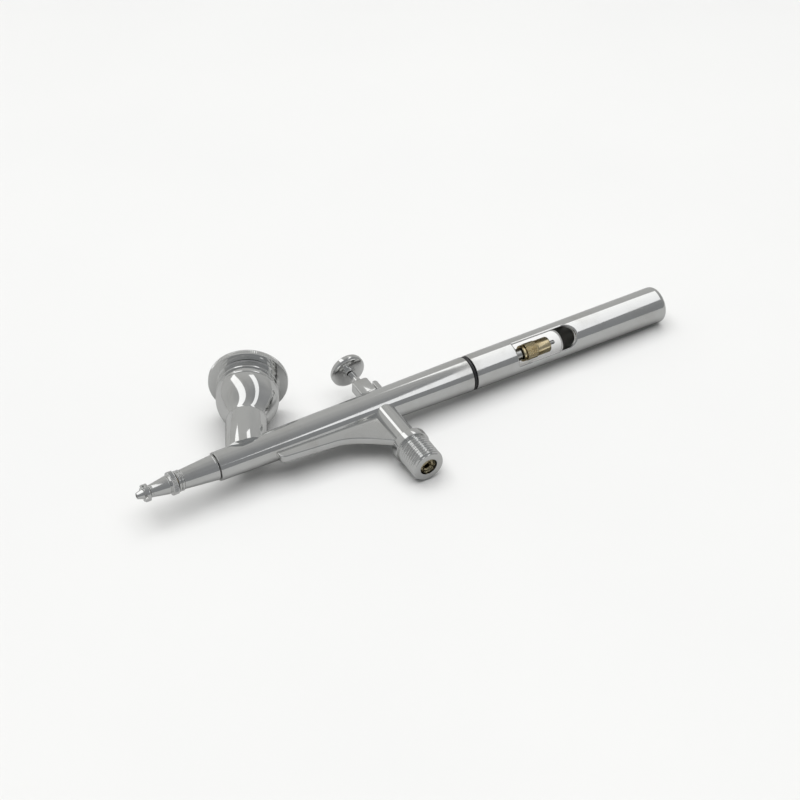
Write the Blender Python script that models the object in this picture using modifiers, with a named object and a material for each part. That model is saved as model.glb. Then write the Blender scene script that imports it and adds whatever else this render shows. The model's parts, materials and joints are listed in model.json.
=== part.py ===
"""Gravity-feed, double-action airbrush, modelled lying on its side.

The pieces are laid out in a plain design frame and then turned together into the way the
airbrush lies on a table. In the design frame the barrel runs along +X from the needle's tip
toward the handle, the cup and trigger stand along +Y, the air valve hangs along -Y, and Z is
the symmetry plane's normal.
"""

from math import cos, pi, radians, sin, sqrt

import bmesh
import bpy
import numpy as np
from mathutils import Matrix, Vector
from mathutils.geometry import interpolate_bezier

MM = 0.001

# Clearances
GAP = 0.3 * MM               # between pieces that touch
RUN = 0.4 * MM               # round the needle and the pieces that slide
THREAD_GAP = 0.3 * MM        # between a screwed-in piece and its socket

# Lengths along the barrel
CROWN_LENGTH = 3.4 * MM
CROWN_RING = 0.9 * MM
CROWN_PRONG = 0.7 * MM
NOZZLE_CAP_LENGTH = 7.5 * MM
KNURL_WIDTH = 1.6 * MM
HEAD_LENGTH = 11.7 * MM
HEAD_COLLAR = 0.6 * MM
HEAD_GROOVE = 0.25 * MM
BODY_LENGTH = 80.0 * MM
JOINT_RING_WIDTH = 0.7 * MM
JOINT_RING_INSET = 0.1 * MM
HANDLE_LENGTH = 67.3 * MM
CUP_FROM_BODY_FRONT = 11.2 * MM
TRIGGER_FROM_BODY_FRONT = 50.8 * MM

# Barrel, head and handle radii
CROWN_RADIUS = 2.45 * MM
CROWN_NOSE_RADIUS = 1.45 * MM
CROWN_WAIST_RADIUS = 1.2 * MM
CROWN_MOUTH_RADIUS = 0.5 * MM
CROWN_TIP_RADIUS = 0.85 * MM
CROWN_BORE_RADIUS = 1.25 * MM
CROWN_PRONG_WALL = 0.6 * MM
CROWN_PRONGS = 5
CROWN_SLOT = 1.2 * MM        # width of the gap between two prongs
NOZZLE_CAP_FRONT_RADIUS = 1.75 * MM
NOZZLE_CAP_REAR_RADIUS = 2.6 * MM
KNURL_RADIUS = 3.3 * MM
HEAD_FRONT_RADIUS = 2.75 * MM
HEAD_REAR_RADIUS = 3.65 * MM
BODY_FRONT_RADIUS = 4.1 * MM
BODY_REAR_RADIUS = 5.25 * MM
HANDLE_REAR_RADIUS = 5.6 * MM
HANDLE_ROUNDING = 1.5 * MM

# Bores and walls
PAINT_BORE_RADIUS = 2.0 * MM
PACKING_BORE_RADIUS = 2.6 * MM
HEAD_BORE_RADIUS = 1.6 * MM
HEAD_THROAT_RADIUS = 1.3 * MM
HEAD_SOCKET_WALL = 0.9 * MM
HEAD_SOCKET_DEPTH = 6.1 * MM
SEAL_THICKNESS = 0.8 * MM
PACKING_THICKNESS = 2.1 * MM
PACKING_SCREW_LENGTH = 7.0 * MM
SCREW_SLOT_WIDTH = 0.7 * MM
SCREW_SLOT_DEPTH = 0.8 * MM
NEEDLE_RADIUS = 0.6 * MM
NEEDLE_TAPER = 14.0 * MM
NEEDLE_BEHIND_NUT = 2.3 * MM
NEEDLE_POINT_RADIUS = 0.03 * MM
NEEDLE_POINT_TAPER = 3.0 * MM
NEEDLE_POINT_REAR_RADIUS = 0.16 * MM
NOZZLE_TIP = 2.0 * MM        # the paint nozzle's tip behind the needle's
NOZZLE_MOUTH_RADIUS = 0.3 * MM
NOZZLE_FLANGE_RADIUS = 1.75 * MM
NOZZLE_FLANGE = 1.3 * MM
NOZZLE_WALL = 0.2 * MM
NOZZLE_TAIL = 4.6 * MM
SPIGOT_STEP = 0.85 * MM      # step from the body's shoulder down to its spigot
SPIGOT_WALL = 0.6 * MM
SPIGOT_LENGTH = 6.0 * MM

# Paint cup, measured along its own axis from the barrel's surface
CUP_LEAN = radians(28.0)
CUP_STEM_RADIUS = 5.5 * MM
CUP_NECK_RADIUS = 6.0 * MM
CUP_BOWL_RADIUS = 9.0 * MM
CUP_MOUTH_RADIUS = 8.7 * MM
CUP_STEM_HEIGHT = 9.4 * MM
CUP_BOWL_HEIGHT = 19.2 * MM
CUP_HEIGHT = 24.5 * MM
CUP_WALL = 0.6 * MM
CUP_BORE_RADIUS = 2.5 * MM
CUP_FUNNEL_RADIUS = 4.1 * MM
CUP_SADDLE_LOW = 0.8 * MM    # how far above the barrel's axis the saddle's edge ends
LID_OVERHANG = 2.75 * MM
LID_EDGE = 0.25 * MM
LID_RIM = 1.7 * MM
LID_SPIGOT = 2.2 * MM
LID_VENT_RADIUS = 0.7 * MM

# Trigger, measured from the barrel's axis
TRIGGER_PRESS = 2.0 * MM
TRIGGER_PIVOT_DEPTH = 2.8 * MM
TRIGGER_FOOT_RADIUS = 1.2 * MM
TRIGGER_WIDTH = 3.4 * MM
TRIGGER_BLOCK_LENGTH = 5.0 * MM
TRIGGER_BLOCK_LOW = 5.0 * MM
TRIGGER_BLOCK_HIGH = 11.2 * MM
TRIGGER_CORNER = 0.5 * MM
TRIGGER_UNDERCUT = 0.2 * MM  # rise of the block's underside toward its ends
TRIGGER_SLOT_LOW = 1.35 * MM # floor of the needle's slot below the barrel's axis
TRIGGER_STEM_RADIUS = 1.25 * MM
TRIGGER_STEM_HIGH = 15.6 * MM
PAD_RADIUS = 5.25 * MM
PAD_THICKNESS = 2.2 * MM
PAD_HUB_RADIUS = 1.9 * MM
PAD_HUB_HEIGHT = 0.6 * MM
PAD_EDGE = 0.5 * MM
PAD_DISH = 0.5 * MM
SLOT_CLEARANCE = 0.4 * MM    # on each side of the trigger's blade
SLOT_AHEAD = 4.0 * MM        # slot ahead of the trigger's axis
LEVER_SWAY = 0.55 * MM       # room behind the auxiliary lever for its swing

# Auxiliary lever and the needle tube that carries it
LEVER_PIN_DEPTH = 1.9 * MM
LEVER_PIN_RADIUS = 0.45 * MM
LEVER_BOSS_RADIUS = 1.15 * MM
LEVER_THICKNESS = 1.6 * MM
LEVER_WIDTH = 2.9 * MM
LEVER_HIGH = 9.0 * MM
TUBE_CHEEK_LENGTH = 2.65 * MM
TUBE_FLANGE = 1.8 * MM
TUBE_RADIUS = 1.85 * MM
COLLET_RADIUS = 1.5 * MM
COLLET_LENGTH = 7.0 * MM
COLLET_SLIT = 0.4 * MM
COLLET_SLIT_AHEAD = 3.0 * MM
NEEDLE_TRAVEL = 3.4 * MM

# Spring case, nut and window, along the barrel
CASE_CLEARANCE = 1.0 * MM    # between the case and the tube's head, drawn back
CASE_WALL = 0.5 * MM
CASE_BEHIND = 9.0 * MM
CASE_NECK = 4.0 * MM
CASE_NECK_RADIUS = 2.9 * MM
NUT_FROM_RING = 18.1 * MM
NUT_LENGTH = 9.5 * MM
NUT_RADIUS = 2.55 * MM
NUT_REAR_RADIUS = 2.35 * MM
NUT_SHOULDER = 4.9 * MM      # length of the nut's wider front part
NUT_FLOOR = 1.6 * MM
NUT_EDGE = 0.3 * MM
WINDOW_START = 14.3 * MM     # from the handle's front end
WINDOW_END = 34.6 * MM
WINDOW_WIDTH = 7.0 * MM
WINDOW_TURN = radians(48.0)  # above the table, toward the valve's side
CAVITY_BEHIND_WINDOW = 4.0 * MM
CAVITY_CONE = 2.0 * MM

# Finger rest, a plate under the barrel
FIN_THICKNESS = 2.4 * MM
FIN_AHEAD = 34.2 * MM        # its tab's front ahead of the valve's axis
FIN_FRONT_DEPTH = 7.0 * MM
FIN_STRIP_DEPTH = 8.1 * MM
FIN_LOW = 16.2 * MM
FIN_INSIDE = 1.5 * MM
FIN_TAB_HIGH = 5.0 * MM
FIN_SWEEP_AHEAD = 18.0 * MM  # where the strip starts to sweep down, ahead of the valve's axis
FIN_FLAT_AHEAD = 2.9 * MM

# Air valve, measured down from the barrel's axis
VALVE_RADIUS = 3.5 * MM
VALVE_WALL = 0.9 * MM
VALVE_TOP = 2.0 * MM
VALVE_CHAMFER = 0.5 * MM
VALVE_SEAT_HIGH = 8.6 * MM
VALVE_SEAT_LOW = 10.4 * MM
VALVE_COLLAR_HIGH = 17.0 * MM
VALVE_COLLAR_LOW = 19.4 * MM
VALVE_COLLAR_RADIUS = 5.3 * MM
VALVE_LOW = 28.0 * MM
HOSE_THREAD_RADIUS = 4.85 * MM
PLUNGER_RADIUS = 1.7 * MM
PLUNGER_HEAD = 1.5 * MM
PLUNGER_STEM_RADIUS = 0.9 * MM
PLUNGER_DISC = 1.2 * MM
PLUNGER_DISC_CLEARANCE = 0.6 * MM
PLUNGER_TAIL = 1.5 * MM
SEAL_WIRE = 0.4 * MM
GUIDE_HIGH = 19.2 * MM
GUIDE_LENGTH = 4.6 * MM

# Springs
NEEDLE_SPRING_WIRE = 0.22 * MM
NEEDLE_SPRING_TURNS = 9
VALVE_SPRING_WIRE = 0.2 * MM
VALVE_SPRING_TURNS = 4

# Mesh resolution
ROUND = 32
SMALL_ROUND = 20
COIL_POINTS = 10
CURVE_POINTS = 7
SHARP_EDGE = radians(32.0)
MERGE = 0.00001

# Stations along the barrel, from the needle's tip
CROWN_REAR = CROWN_LENGTH
CAP_FRONT = CROWN_REAR + GAP
CAP_REAR = CAP_FRONT + NOZZLE_CAP_LENGTH
HEAD_FRONT = CAP_REAR + GAP
HEAD_REAR = HEAD_FRONT + HEAD_LENGTH
BODY_FRONT = HEAD_REAR + GAP
BODY_REAR = BODY_FRONT + BODY_LENGTH
RING_FRONT = BODY_REAR + GAP
RING_REAR = RING_FRONT + JOINT_RING_WIDTH
HANDLE_FRONT = RING_REAR + GAP
HANDLE_REAR = HANDLE_FRONT + HANDLE_LENGTH
CUP_STATION = BODY_FRONT + CUP_FROM_BODY_FRONT
TRIGGER_STATION = BODY_FRONT + TRIGGER_FROM_BODY_FRONT
NUT_FRONT = RING_REAR + NUT_FROM_RING
NUT_REAR = NUT_FRONT + NUT_LENGTH
NEEDLE_REAR = NUT_REAR + NEEDLE_BEHIND_NUT

# Places that follow from the sizes above
NEEDLE_BORE_RADIUS = NEEDLE_RADIUS + RUN
NEEDLE_SLOT_HALF = NEEDLE_RADIUS + RUN
HEAD_SOCKET_RADIUS = BODY_FRONT_RADIUS - HEAD_SOCKET_WALL
SPIGOT_RADIUS = BODY_REAR_RADIUS - SPIGOT_STEP
MECHANISM_BORE_RADIUS = SPIGOT_RADIUS - SPIGOT_WALL
HANDLE_CAVITY_RADIUS = SPIGOT_RADIUS - GAP
TUBE_HEAD_RADIUS = MECHANISM_BORE_RADIUS - RUN
CASE_RADIUS = MECHANISM_BORE_RADIUS - THREAD_GAP
CASE_BORE_RADIUS = CASE_RADIUS - CASE_WALL
VALVE_BORE_RADIUS = VALVE_RADIUS - VALVE_WALL
LID_RADIUS = CUP_MOUTH_RADIUS + LID_OVERHANG
SLOT_WIDTH = TRIGGER_WIDTH + 2 * SLOT_CLEARANCE
LEVER_FRONT = TRIGGER_STATION + TRIGGER_BLOCK_LENGTH / 2 + RUN
LEVER_PIN_STATION = LEVER_FRONT + LEVER_BOSS_RADIUS
TUBE_FRONT = LEVER_FRONT
SLOT_REAR = LEVER_FRONT + LEVER_THICKNESS + NEEDLE_TRAVEL + SLOT_WIDTH / 2 + LEVER_SWAY
TUBE_FLANGE_FRONT = TUBE_FRONT + TUBE_CHEEK_LENGTH
TUBE_FLANGE_REAR = TUBE_FLANGE_FRONT + TUBE_FLANGE
CASE_FRONT = TUBE_FLANGE_REAR + NEEDLE_TRAVEL + CASE_CLEARANCE
CASE_REAR = BODY_REAR + CASE_BEHIND
SOCKET_BOTTOM = BODY_FRONT + HEAD_SOCKET_DEPTH
HEAD_SPIGOT_REAR = SOCKET_BOTTOM - SEAL_THICKNESS - 2 * GAP
PACKING_FRONT = CUP_STATION + 15.6 * MM
PACKING_REAR = PACKING_FRONT + PACKING_THICKNESS
PACKING_SCREW_FRONT = PACKING_REAR + GAP
MECHANISM_FRONT = TRIGGER_STATION - 8.0 * MM
PLUNGER_HIGH = TRIGGER_PIVOT_DEPTH + TRIGGER_FOOT_RADIUS + GAP

ALONG_BARREL = Vector((1, 0, 0))
UP_TRIGGER = Vector((0, 1, 0))
DOWN_VALVE = Vector((0, -1, 0))
SIDEWAYS = Vector((0, 0, 1))
ALONG_CUP = Vector((sin(CUP_LEAN), cos(CUP_LEAN), 0))

CHROME = (0.78, 0.79, 0.80)
STEEL = (0.62, 0.63, 0.64)
BRASS = (0.78, 0.58, 0.28)
SPRING_STEEL = (0.42, 0.42, 0.43)
SEAL_BLACK = (0.03, 0.03, 0.035)
PACKING_WHITE = (0.85, 0.84, 0.80)


def body_radius(station):
    """Outer radius of the tapering barrel at a station."""
    share = (station - BODY_FRONT) / BODY_LENGTH
    return BODY_FRONT_RADIUS + share * (BODY_REAR_RADIUS - BODY_FRONT_RADIUS)


CUP_BASE = Vector((CUP_STATION, body_radius(CUP_STATION), 0))
TRIGGER_PIVOT = Vector((TRIGGER_STATION, -TRIGGER_PIVOT_DEPTH, 0))
VALVE_AXIS = Vector((TRIGGER_STATION, 0, 0))
LEVER_PIVOT = Vector((LEVER_PIN_STATION, -LEVER_PIN_DEPTH, 0))
ORIGIN = Vector((0, 0, 0))


# ---------------------------------------------------------------- scene and helpers

for leftover in list(bpy.data.objects):
    bpy.data.objects.remove(leftover, do_unlink=True)

parts = bpy.data.collections.new("airbrush_gun")
cutters = bpy.data.collections.new("airbrush_gun_cutters")
bpy.context.scene.collection.children.link(parts)
bpy.context.scene.collection.children.link(cutters)

airbrush = bpy.data.objects.new("airbrush", None)
parts.objects.link(airbrush)


def make_material(name, colour, metallic, roughness):
    material = bpy.data.materials.new(name)
    material.use_nodes = True
    shader = material.node_tree.nodes["Principled BSDF"]
    shader.inputs["Base Color"].default_value = (*colour, 1.0)
    shader.inputs["Metallic"].default_value = metallic
    shader.inputs["Roughness"].default_value = roughness
    return material


def add_object(name, data, collection=parts, origin=ORIGIN, direction=SIDEWAYS):
    """Link an object under the airbrush, with its local Z along direction."""
    piece = bpy.data.objects.new(name, data)
    collection.objects.link(piece)
    piece.parent = airbrush
    piece.location = origin
    piece.rotation_mode = 'QUATERNION'
    piece.rotation_quaternion = SIDEWAYS.rotation_difference(direction)
    if collection is cutters:
        piece.hide_render = True
        piece.display_type = 'WIRE'
    return piece


def turned(name, outer, inner=None, origin=ORIGIN, direction=ALONG_BARREL, steps=ROUND,
           collection=parts):
    """A turned piece. outer and inner list (height, radius) from the low end to the high end.

    A bore that ends on the axis is blind, and outer then ends on the axis too.
    """
    mesh = bpy.data.meshes.new(name)
    shape = bmesh.new()
    profile = list(reversed(outer))
    if inner is None:
        profile = [(outer[-1][0], 0.0)] + profile + [(outer[0][0], 0.0)]
    else:
        profile = profile + inner
    corners = [shape.verts.new((radius, 0.0, height)) for height, radius in profile]
    for first, second in zip(corners, corners[1:]):
        shape.edges.new((first, second))
    if inner is not None and inner[-1][1] > 0:
        shape.edges.new((corners[-1], corners[0]))
    shape.to_mesh(mesh)
    shape.free()
    piece = add_object(name, mesh, collection, origin, direction)
    turn = piece.modifiers.new("turn", 'SCREW')
    turn.axis = 'Z'
    turn.steps = steps
    turn.render_steps = steps
    turn.use_merge_vertices = True
    turn.merge_threshold = MERGE
    return piece


def rod(name, radius, low, high, origin, direction, steps=SMALL_ROUND, collection=cutters):
    return turned(name, [(low, radius), (high, radius)], None, origin, direction, steps,
                  collection)


def box(name, low, high, collection=cutters):
    """A box between two opposite corners of the design frame."""
    low = Vector(low)
    high = Vector(high)
    mesh = bpy.data.meshes.new(name)
    shape = bmesh.new()
    bmesh.ops.create_cube(shape, size=1.0)
    bmesh.ops.scale(shape, vec=high - low, verts=shape.verts)
    bmesh.ops.translate(shape, vec=(low + high) / 2, verts=shape.verts)
    shape.to_mesh(mesh)
    shape.free()
    return add_object(name, mesh, collection)


def plate(name, outline, thickness, origin=ORIGIN, collection=parts):
    """A flat outline in the symmetry plane, thickened evenly to both sides of it."""
    flat = bpy.data.curves.new(name, 'CURVE')
    flat.dimensions = '2D'
    flat.fill_mode = 'BOTH'
    flat.extrude = thickness / 2
    spline = flat.splines.new('POLY')
    spline.points.add(len(outline) - 1)
    for point, (x, y) in zip(spline.points, outline):
        point.co = (x, y, 0.0, 1.0)
    spline.use_cyclic_u = True
    drawn = bpy.data.objects.new(name + "_outline", flat)
    parts.objects.link(drawn)
    graph = bpy.context.evaluated_depsgraph_get()
    mesh = bpy.data.meshes.new_from_object(drawn.evaluated_get(graph))
    mesh.name = name
    bpy.data.objects.remove(drawn, do_unlink=True)
    shape = bmesh.new()
    shape.from_mesh(mesh)
    bmesh.ops.remove_doubles(shape, verts=shape.verts, dist=MERGE)
    bmesh.ops.recalc_face_normals(shape, faces=shape.faces)
    shape.to_mesh(mesh)
    shape.free()
    return add_object(name, mesh, collection, origin)


def coil(name, radius, wire, turns, low, high, origin, direction):
    """A helical spring between two heights, its wire's ends inside them."""
    spring = bpy.data.curves.new(name, 'CURVE')
    spring.dimensions = '3D'
    spring.bevel_depth = wire
    spring.bevel_resolution = 2
    spring.use_fill_caps = True
    count = turns * COIL_POINTS + 1
    spline = spring.splines.new('POLY')
    spline.points.add(count - 1)
    for index, point in enumerate(spline.points):
        share = index / (count - 1)
        angle = 2 * pi * turns * share
        height = low + wire + share * (high - low - 2 * wire)
        point.co = (radius * cos(angle), radius * sin(angle), height, 1.0)
    return add_object(name, spring, parts, origin, direction)


def combine(piece, other, operation):
    change = piece.modifiers.new(other.name, 'BOOLEAN')
    change.operation = operation
    change.solver = 'EXACT'
    change.object = other


def cut(piece, *tools):
    for tool in tools:
        combine(piece, tool, 'DIFFERENCE')


def join(piece, *others):
    """Unite pieces that are one solid on the real airbrush; the added shapes become tools."""
    for other in others:
        combine(piece, other, 'UNION')


def arc(centre_x, centre_y, radius, start, end, count):
    """Points on an arc, from one angle to another."""
    angles = np.linspace(start, end, count)
    return [(centre_x + radius * cos(angle), centre_y + radius * sin(angle)) for angle in angles]


def smooth_run(start, start_handle, end_handle, end, count=CURVE_POINTS):
    """Points on a Bezier curve between two profile points."""
    knots = [Vector((*point, 0.0)) for point in (start, start_handle, end_handle, end)]
    return [(point.x, point.y) for point in interpolate_bezier(*knots, count)]


def finish(piece, material):
    """Keep the evaluated shape as the piece's own mesh, shaded smooth between its edges."""
    if piece.type == 'MESH':
        graph = bpy.context.evaluated_depsgraph_get()
        mesh = bpy.data.meshes.new_from_object(piece.evaluated_get(graph))
        piece.modifiers.clear()
        piece.data = mesh
        mesh.name = piece.name
        mesh.shade_smooth()
        mesh.set_sharp_from_angle(angle=SHARP_EDGE)
    piece.data.materials.clear()
    piece.data.materials.append(material)


# ---------------------------------------------------------------- shared tools

barrel_hull = turned(
    "barrel_hull_tool",
    [(BODY_FRONT, BODY_FRONT_RADIUS + GAP), (BODY_REAR, BODY_REAR_RADIUS + GAP)],
    collection=cutters)


# ---------------------------------------------------------------- head

def make_crown_cap():
    """Needle guard: a small nose cone with a ring of prongs standing round its foot."""
    ring_front = CROWN_REAR - CROWN_RING
    prong_front = ring_front - CROWN_PRONG
    prong_inside = CROWN_RADIUS - CROWN_PRONG_WALL
    nose_rear = prong_front + CROWN_PRONG / 4
    waist_front = nose_rear + CROWN_PRONG / 8
    throat = CROWN_WAIST_RADIUS - GAP
    floor = ring_front - CROWN_PRONG / 10
    piece = turned(
        "crown_cap",
        [(0.0, CROWN_TIP_RADIUS), (nose_rear, CROWN_NOSE_RADIUS),
         (waist_front, CROWN_WAIST_RADIUS), (ring_front, CROWN_WAIST_RADIUS),
         (ring_front, prong_inside), (prong_front, prong_inside),
         (prong_front, CROWN_RADIUS), (CROWN_REAR, CROWN_RADIUS)],
        [(0.0, CROWN_MOUTH_RADIUS), (ring_front, throat), (CROWN_REAR, CROWN_BORE_RADIUS)],
        steps=SMALL_ROUND)
    for index in range(CROWN_PRONGS):
        slot = box("crown_slot_tool_" + str(index),
                   (prong_front - MM, CROWN_NOSE_RADIUS, -CROWN_SLOT / 2),
                   (floor, 2 * CROWN_RADIUS, CROWN_SLOT / 2))
        turn = Matrix.Rotation(2 * pi * index / CROWN_PRONGS, 3, 'X')
        slot.rotation_quaternion = turn.to_quaternion()
        cut(piece, slot)
    return piece


def make_nozzle_cap():
    """Conical air cap with a knurled ring at its rear."""
    knurl_front = CAP_REAR - KNURL_WIDTH
    wide = NOZZLE_FLANGE_RADIUS + RUN
    wide_front = CAP_REAR - NOZZLE_FLANGE - RUN
    return turned(
        "nozzle_cap",
        [(CAP_FRONT, NOZZLE_CAP_FRONT_RADIUS), (knurl_front, NOZZLE_CAP_REAR_RADIUS),
         (knurl_front, KNURL_RADIUS), (CAP_REAR, KNURL_RADIUS)],
        [(CAP_FRONT, CROWN_BORE_RADIUS), (wide_front - RUN, NOZZLE_FLANGE_RADIUS),
         (wide_front, wide), (CAP_REAR, wide)])


def make_fluid_nozzle():
    """Paint nozzle: its cone in the air cap, its tail in the head."""
    flange_front = CAP_REAR - NOZZLE_FLANGE
    tail_radius = HEAD_BORE_RADIUS - THREAD_GAP
    tail_rear = HEAD_FRONT + NOZZLE_TAIL
    return turned(
        "fluid_nozzle",
        [(NOZZLE_TIP, NOZZLE_MOUTH_RADIUS + NOZZLE_WALL), (flange_front, tail_radius),
         (flange_front, NOZZLE_FLANGE_RADIUS), (CAP_REAR, NOZZLE_FLANGE_RADIUS),
         (CAP_REAR, tail_radius), (tail_rear, tail_radius)],
        [(NOZZLE_TIP, NOZZLE_MOUTH_RADIUS), (flange_front, NEEDLE_BORE_RADIUS),
         (tail_rear, NEEDLE_BORE_RADIUS)],
        steps=SMALL_ROUND)


def make_head_sleeve():
    """Tapered head with two thin collars in front and a spigot in the body."""
    collar_radius = HEAD_FRONT_RADIUS + HEAD_COLLAR / 3
    groove_radius = HEAD_FRONT_RADIUS - HEAD_COLLAR / 3
    spigot_radius = HEAD_SOCKET_RADIUS - THREAD_GAP
    first = HEAD_FRONT + HEAD_COLLAR
    second = first + HEAD_GROOVE
    third = second + HEAD_COLLAR
    bore_rear = HEAD_FRONT + NOZZLE_TAIL + 2 * GAP
    return turned(
        "head_sleeve",
        [(HEAD_FRONT, collar_radius), (first, collar_radius), (first, groove_radius),
         (second, groove_radius), (second, collar_radius), (third, collar_radius),
         (third, HEAD_FRONT_RADIUS), (HEAD_REAR, HEAD_REAR_RADIUS), (HEAD_REAR, spigot_radius),
         (HEAD_SPIGOT_REAR, spigot_radius)],
        [(HEAD_FRONT, HEAD_BORE_RADIUS), (bore_rear, HEAD_BORE_RADIUS),
         (bore_rear + GAP, HEAD_THROAT_RADIUS), (HEAD_SPIGOT_REAR, HEAD_THROAT_RADIUS)])


def make_head_seal():
    """Washer between the head's spigot and the bottom of the body's socket."""
    low = HEAD_SPIGOT_REAR + GAP
    high = low + SEAL_THICKNESS
    radius = HEAD_SOCKET_RADIUS - THREAD_GAP
    return turned("head_seal", [(low, radius), (high, radius)],
                  [(low, HEAD_THROAT_RADIUS), (high, HEAD_THROAT_RADIUS)], steps=SMALL_ROUND)


# ---------------------------------------------------------------- body and cup

def make_main_body():
    """Barrel: bored through, with the cup's feed hole, trigger slot and valve hole."""
    rear = BODY_REAR + SPIGOT_LENGTH
    piece = turned(
        "main_body",
        [(BODY_FRONT, BODY_FRONT_RADIUS), (BODY_REAR, BODY_REAR_RADIUS),
         (BODY_REAR, SPIGOT_RADIUS), (rear, SPIGOT_RADIUS)],
        [(BODY_FRONT, HEAD_SOCKET_RADIUS), (SOCKET_BOTTOM, HEAD_SOCKET_RADIUS),
         (SOCKET_BOTTOM, PAINT_BORE_RADIUS), (PACKING_FRONT - GAP, PAINT_BORE_RADIUS),
         (PACKING_FRONT - GAP, PACKING_BORE_RADIUS), (MECHANISM_FRONT, PACKING_BORE_RADIUS),
         (MECHANISM_FRONT + 2 * GAP, MECHANISM_BORE_RADIUS), (rear, MECHANISM_BORE_RADIUS)])
    feed_hole = rod("feed_hole_tool", PAINT_BORE_RADIUS, -CUP_BASE.y, CUP_STEM_RADIUS, CUP_BASE,
                    ALONG_CUP)
    valve_hole = rod("valve_hole_tool", VALVE_BORE_RADIUS, 0.0, 2 * BODY_REAR_RADIUS, VALVE_AXIS,
                     DOWN_VALVE)
    half = SLOT_WIDTH / 2
    front = TRIGGER_STATION - SLOT_AHEAD + half
    back = SLOT_REAR - half
    slot = plate(
        "trigger_slot_tool",
        arc(back, 0.0, half, -pi / 2, pi / 2, 9) + arc(front, 0.0, half, pi / 2, 3 * pi / 2, 9),
        2 * BODY_REAR_RADIUS, Vector((0, BODY_REAR_RADIUS, 0)), cutters)
    turn = Matrix.Rotation(-pi / 2, 3, 'X')
    slot.rotation_quaternion = turn.to_quaternion()
    cut(piece, feed_hole, valve_hole, slot)
    return piece


def cup_outline(shrink):
    """The cup's outer side from the foot of the flare to the mouth, moved in by shrink."""
    flare = smooth_run(
        (CUP_STEM_HEIGHT, CUP_NECK_RADIUS), (CUP_STEM_HEIGHT + 2.6 * MM, CUP_NECK_RADIUS + GAP),
        (CUP_BOWL_HEIGHT - 4.8 * MM, CUP_BOWL_RADIUS), (CUP_BOWL_HEIGHT, CUP_BOWL_RADIUS))
    shoulder = smooth_run(
        (CUP_BOWL_HEIGHT, CUP_BOWL_RADIUS), (CUP_BOWL_HEIGHT + 2.0 * MM, CUP_BOWL_RADIUS),
        (CUP_HEIGHT - 1.5 * MM, CUP_MOUTH_RADIUS + 0.1 * MM), (CUP_HEIGHT, CUP_MOUTH_RADIUS), 4)
    return [(height, radius - shrink) for height, radius in flare + shoulder[1:]]


def make_paint_cup():
    """Stem and bowl in one, saddled on the barrel and bored through into it."""
    foot = -CUP_BASE.y
    outer = [(foot, CUP_STEM_RADIUS)] + cup_outline(0.0)
    funnel_start = CUP_STEM_HEIGHT + 1.4 * MM
    bowl = [point for point in cup_outline(CUP_WALL) if point[0] > CUP_STEM_HEIGHT + 4.0 * MM]
    inner = [(foot, CUP_BORE_RADIUS), (funnel_start, CUP_BORE_RADIUS),
             (funnel_start + CUP_WALL + GAP, CUP_FUNNEL_RADIUS)] + bowl
    piece = turned("paint_cup", outer, inner, CUP_BASE, ALONG_CUP)
    reach = CUP_HEIGHT
    below = box("saddle_tool", (CUP_STATION - reach, -reach, -reach),
                (CUP_STATION + reach, CUP_SADDLE_LOW, reach))
    cut(piece, barrel_hull, below)
    return piece


def make_cup_lid():
    """Flat lid: an overhanging rim, a spigot in the cup's mouth and a vent hole."""
    under = CUP_HEIGHT + GAP
    rim_low = under + GAP
    top = rim_low + LID_RIM
    floor = under + CUP_WALL
    spigot_radius = CUP_MOUTH_RADIUS - CUP_WALL - RUN
    spigot_low = CUP_HEIGHT - LID_SPIGOT
    return turned(
        "cup_lid",
        [(spigot_low, spigot_radius), (under, spigot_radius), (under, CUP_MOUTH_RADIUS),
         (rim_low, CUP_MOUTH_RADIUS + GAP), (rim_low, LID_RADIUS - LID_EDGE),
         (rim_low + LID_EDGE, LID_RADIUS), (top - LID_EDGE, LID_RADIUS),
         (top, LID_RADIUS - LID_EDGE)],
        [(spigot_low, spigot_radius - CUP_WALL), (floor, spigot_radius - CUP_WALL),
         (floor, LID_VENT_RADIUS), (top, LID_VENT_RADIUS)],
        CUP_BASE, ALONG_CUP)


def make_needle_packing():
    radius = PACKING_BORE_RADIUS - THREAD_GAP
    return turned("needle_packing", [(PACKING_FRONT, radius), (PACKING_REAR, radius)],
                  [(PACKING_FRONT, NEEDLE_BORE_RADIUS), (PACKING_REAR, NEEDLE_BORE_RADIUS)],
                  steps=SMALL_ROUND)


def make_packing_screw():
    """Hollow screw with a driver slot across its rear end."""
    high = PACKING_SCREW_FRONT + PACKING_SCREW_LENGTH
    radius = PACKING_BORE_RADIUS - THREAD_GAP
    piece = turned("packing_screw", [(PACKING_SCREW_FRONT, radius), (high, radius)],
                   [(PACKING_SCREW_FRONT, NEEDLE_BORE_RADIUS), (high, NEEDLE_BORE_RADIUS)],
                   steps=SMALL_ROUND)
    slot = box("packing_slot_tool",
               (high - SCREW_SLOT_DEPTH, -2 * radius, -SCREW_SLOT_WIDTH / 2),
               (high + MM, 2 * radius, SCREW_SLOT_WIDTH / 2))
    cut(piece, slot)
    return piece


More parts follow.
